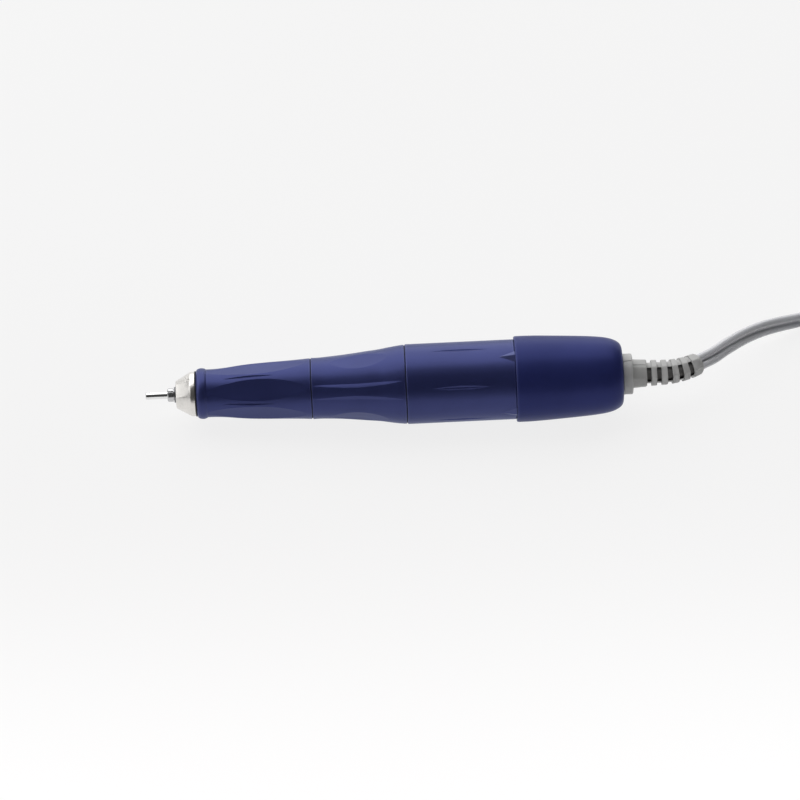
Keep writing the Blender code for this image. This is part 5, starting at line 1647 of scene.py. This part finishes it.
@dataclass
class Studio:
    """The pale floor, the soft lamps and the camera of the photograph."""

    target: Place = (-0.0085, -0.0034, 0.0092)
    distance: float = 1.457
    azimuth: float = 2.2
    elevation: float = 42.0
    lens: float = 200.0
    sensor: float = 36.0
    sight: tuple[float, float] = (0.01, 30.0)
    floor_shade: float = 0.925
    floor_glow: float = 0.9
    floor_size: float = 6.0
    floor_sink: float = 0.00002
    room_light: float = 0.06

    def camera(self) -> None:
        """Set the camera at the photograph's angle."""
        turn, rise = radians(self.azimuth), radians(self.elevation)
        away = Vector((-sin(turn) * cos(rise), -cos(turn) * cos(rise),
                       sin(rise)))
        lens = bpy.data.cameras.new("photo_view")
        lens.lens = self.lens
        lens.sensor_width = self.sensor
        lens.clip_start, lens.clip_end = self.sight
        item = added("photo_view", lens)
        item.location = Vector(self.target) + away * self.distance
        item.rotation_euler = (-away).to_track_quat("-Z", "Y").to_euler()
        bpy.context.scene.camera = item

    def floor(self) -> None:
        """Lay the pale floor."""
        graph = Graph("pale_floor")
        cloud = graph.noise(400.0, detail=1.0)
        shade = self.floor_shade
        tone = graph.mix(graph.span(cloud, 0.0, 1.0), (shade, shade, shade),
                         (shade * 0.985, shade * 0.98, shade * 0.98))
        graph.feed(Base_Color=tone, Roughness=0.9, Specular_IOR_Level=0.1)
        rays = graph.add("ShaderNodeLightPath")
        seen = graph.add("ShaderNodeMath", {0: rays.outputs["Is Camera Ray"],
                                            1: rays.outputs["Is Glossy Ray"]}, operation="MAXIMUM")
        share = graph.add("ShaderNodeMath", {0: seen.outputs[0], 1: self.floor_glow},
                          operation="MULTIPLY")
        glow = graph.add("ShaderNodeEmission", {"Color": tone, "Strength": 1.0})
        both = graph.add("ShaderNodeMixShader", {0: share.outputs[0], 1: graph.shader.outputs[0],
                                                 2: glow.outputs[0]})
        graph.tree.links.new(both.outputs[0], graph.output.inputs[0])
        work = bmesh.new()
        bmesh.ops.create_grid(work, x_segments=2, y_segments=2, size=self.floor_size / MM / 2)
        item = piece("floor", work, graph.material, Matrix.Translation((0.0, 0.0, -self.floor_sink)))

    def lamp(self, name: str, place: Place, size: tuple[float, float], power: float,
             aim: Place | None = None, spread: float = 180.0) -> None:
        """Hang one soft rectangular lamp that faces the object, or another spot.

        Args:
            name: The lamp's name.
            place: Where it hangs, in metres.
            size: Its width and height in metres.
            power: Its power in watts.
            aim: The spot that it faces instead of the object.
            spread: How wide its beam opens, in degrees.
        """
        light = bpy.data.lights.new(name, "AREA")
        light.shape = "RECTANGLE"
        light.size, light.size_y = size
        light.energy = power
        light.spread = radians(spread)
        item = added(name, light)
        item.location = place
        sight = Vector(aim or self.target) - Vector(place)
        item.rotation_euler = sight.to_track_quat("-Z", "Y").to_euler()

    def world(self) -> None:
        """Set the plain grey room round the set."""
        room = bpy.data.worlds.new("studio_room")
        room.use_nodes = True
        shade = room.node_tree.nodes["Background"]
        shade.inputs["Color"].default_value = (1.0, 1.0, 1.0, 1.0)
        shade.inputs["Strength"].default_value = self.room_light
        bpy.context.scene.world = room

    def build(self) -> None:
        """Set the floor, the lamps and the room."""
        bpy.context.scene.view_settings.view_transform = "Standard"
        self.floor()
        self.lamp("overhead_softbox", (-0.25, 0.75, 1.2), (2.6, 1.9), 27.5)
        self.lamp("left_card", (-1.3, -0.1, 0.75), (1.4, 1.1), 5.0)
        self.lamp("back_strip", (0.0, 1.7, 0.42), (3.2, 0.55), 9.0)
        self.lamp("table_lamp", (0.0, -0.26, 0.25), (0.6, 0.3), 0.8, (0.0, -0.26, 0.0), 50.0)
        self.world()


def main() -> None:
    """Build the whole scene over the CAD frame."""
    logging.basicConfig(level=logging.INFO, format="%(message)s")
    studio = Studio()
    studio.camera()
    plug_pieces = Plug().build() + [CoilTie().build()]
    TwinCord().build(plug_pieces)
    for assembly in (NoseEnd(), FrontGrip(), Washers(), TwistCollar(), MotorHousing(), RearCap(), CordBoot(),
                     Springs(), InnerWorks()):
        assembly.build()
        log.info("%s is done", type(assembly).__name__)
    studio.build()


if __name__ == "__main__":
    main()
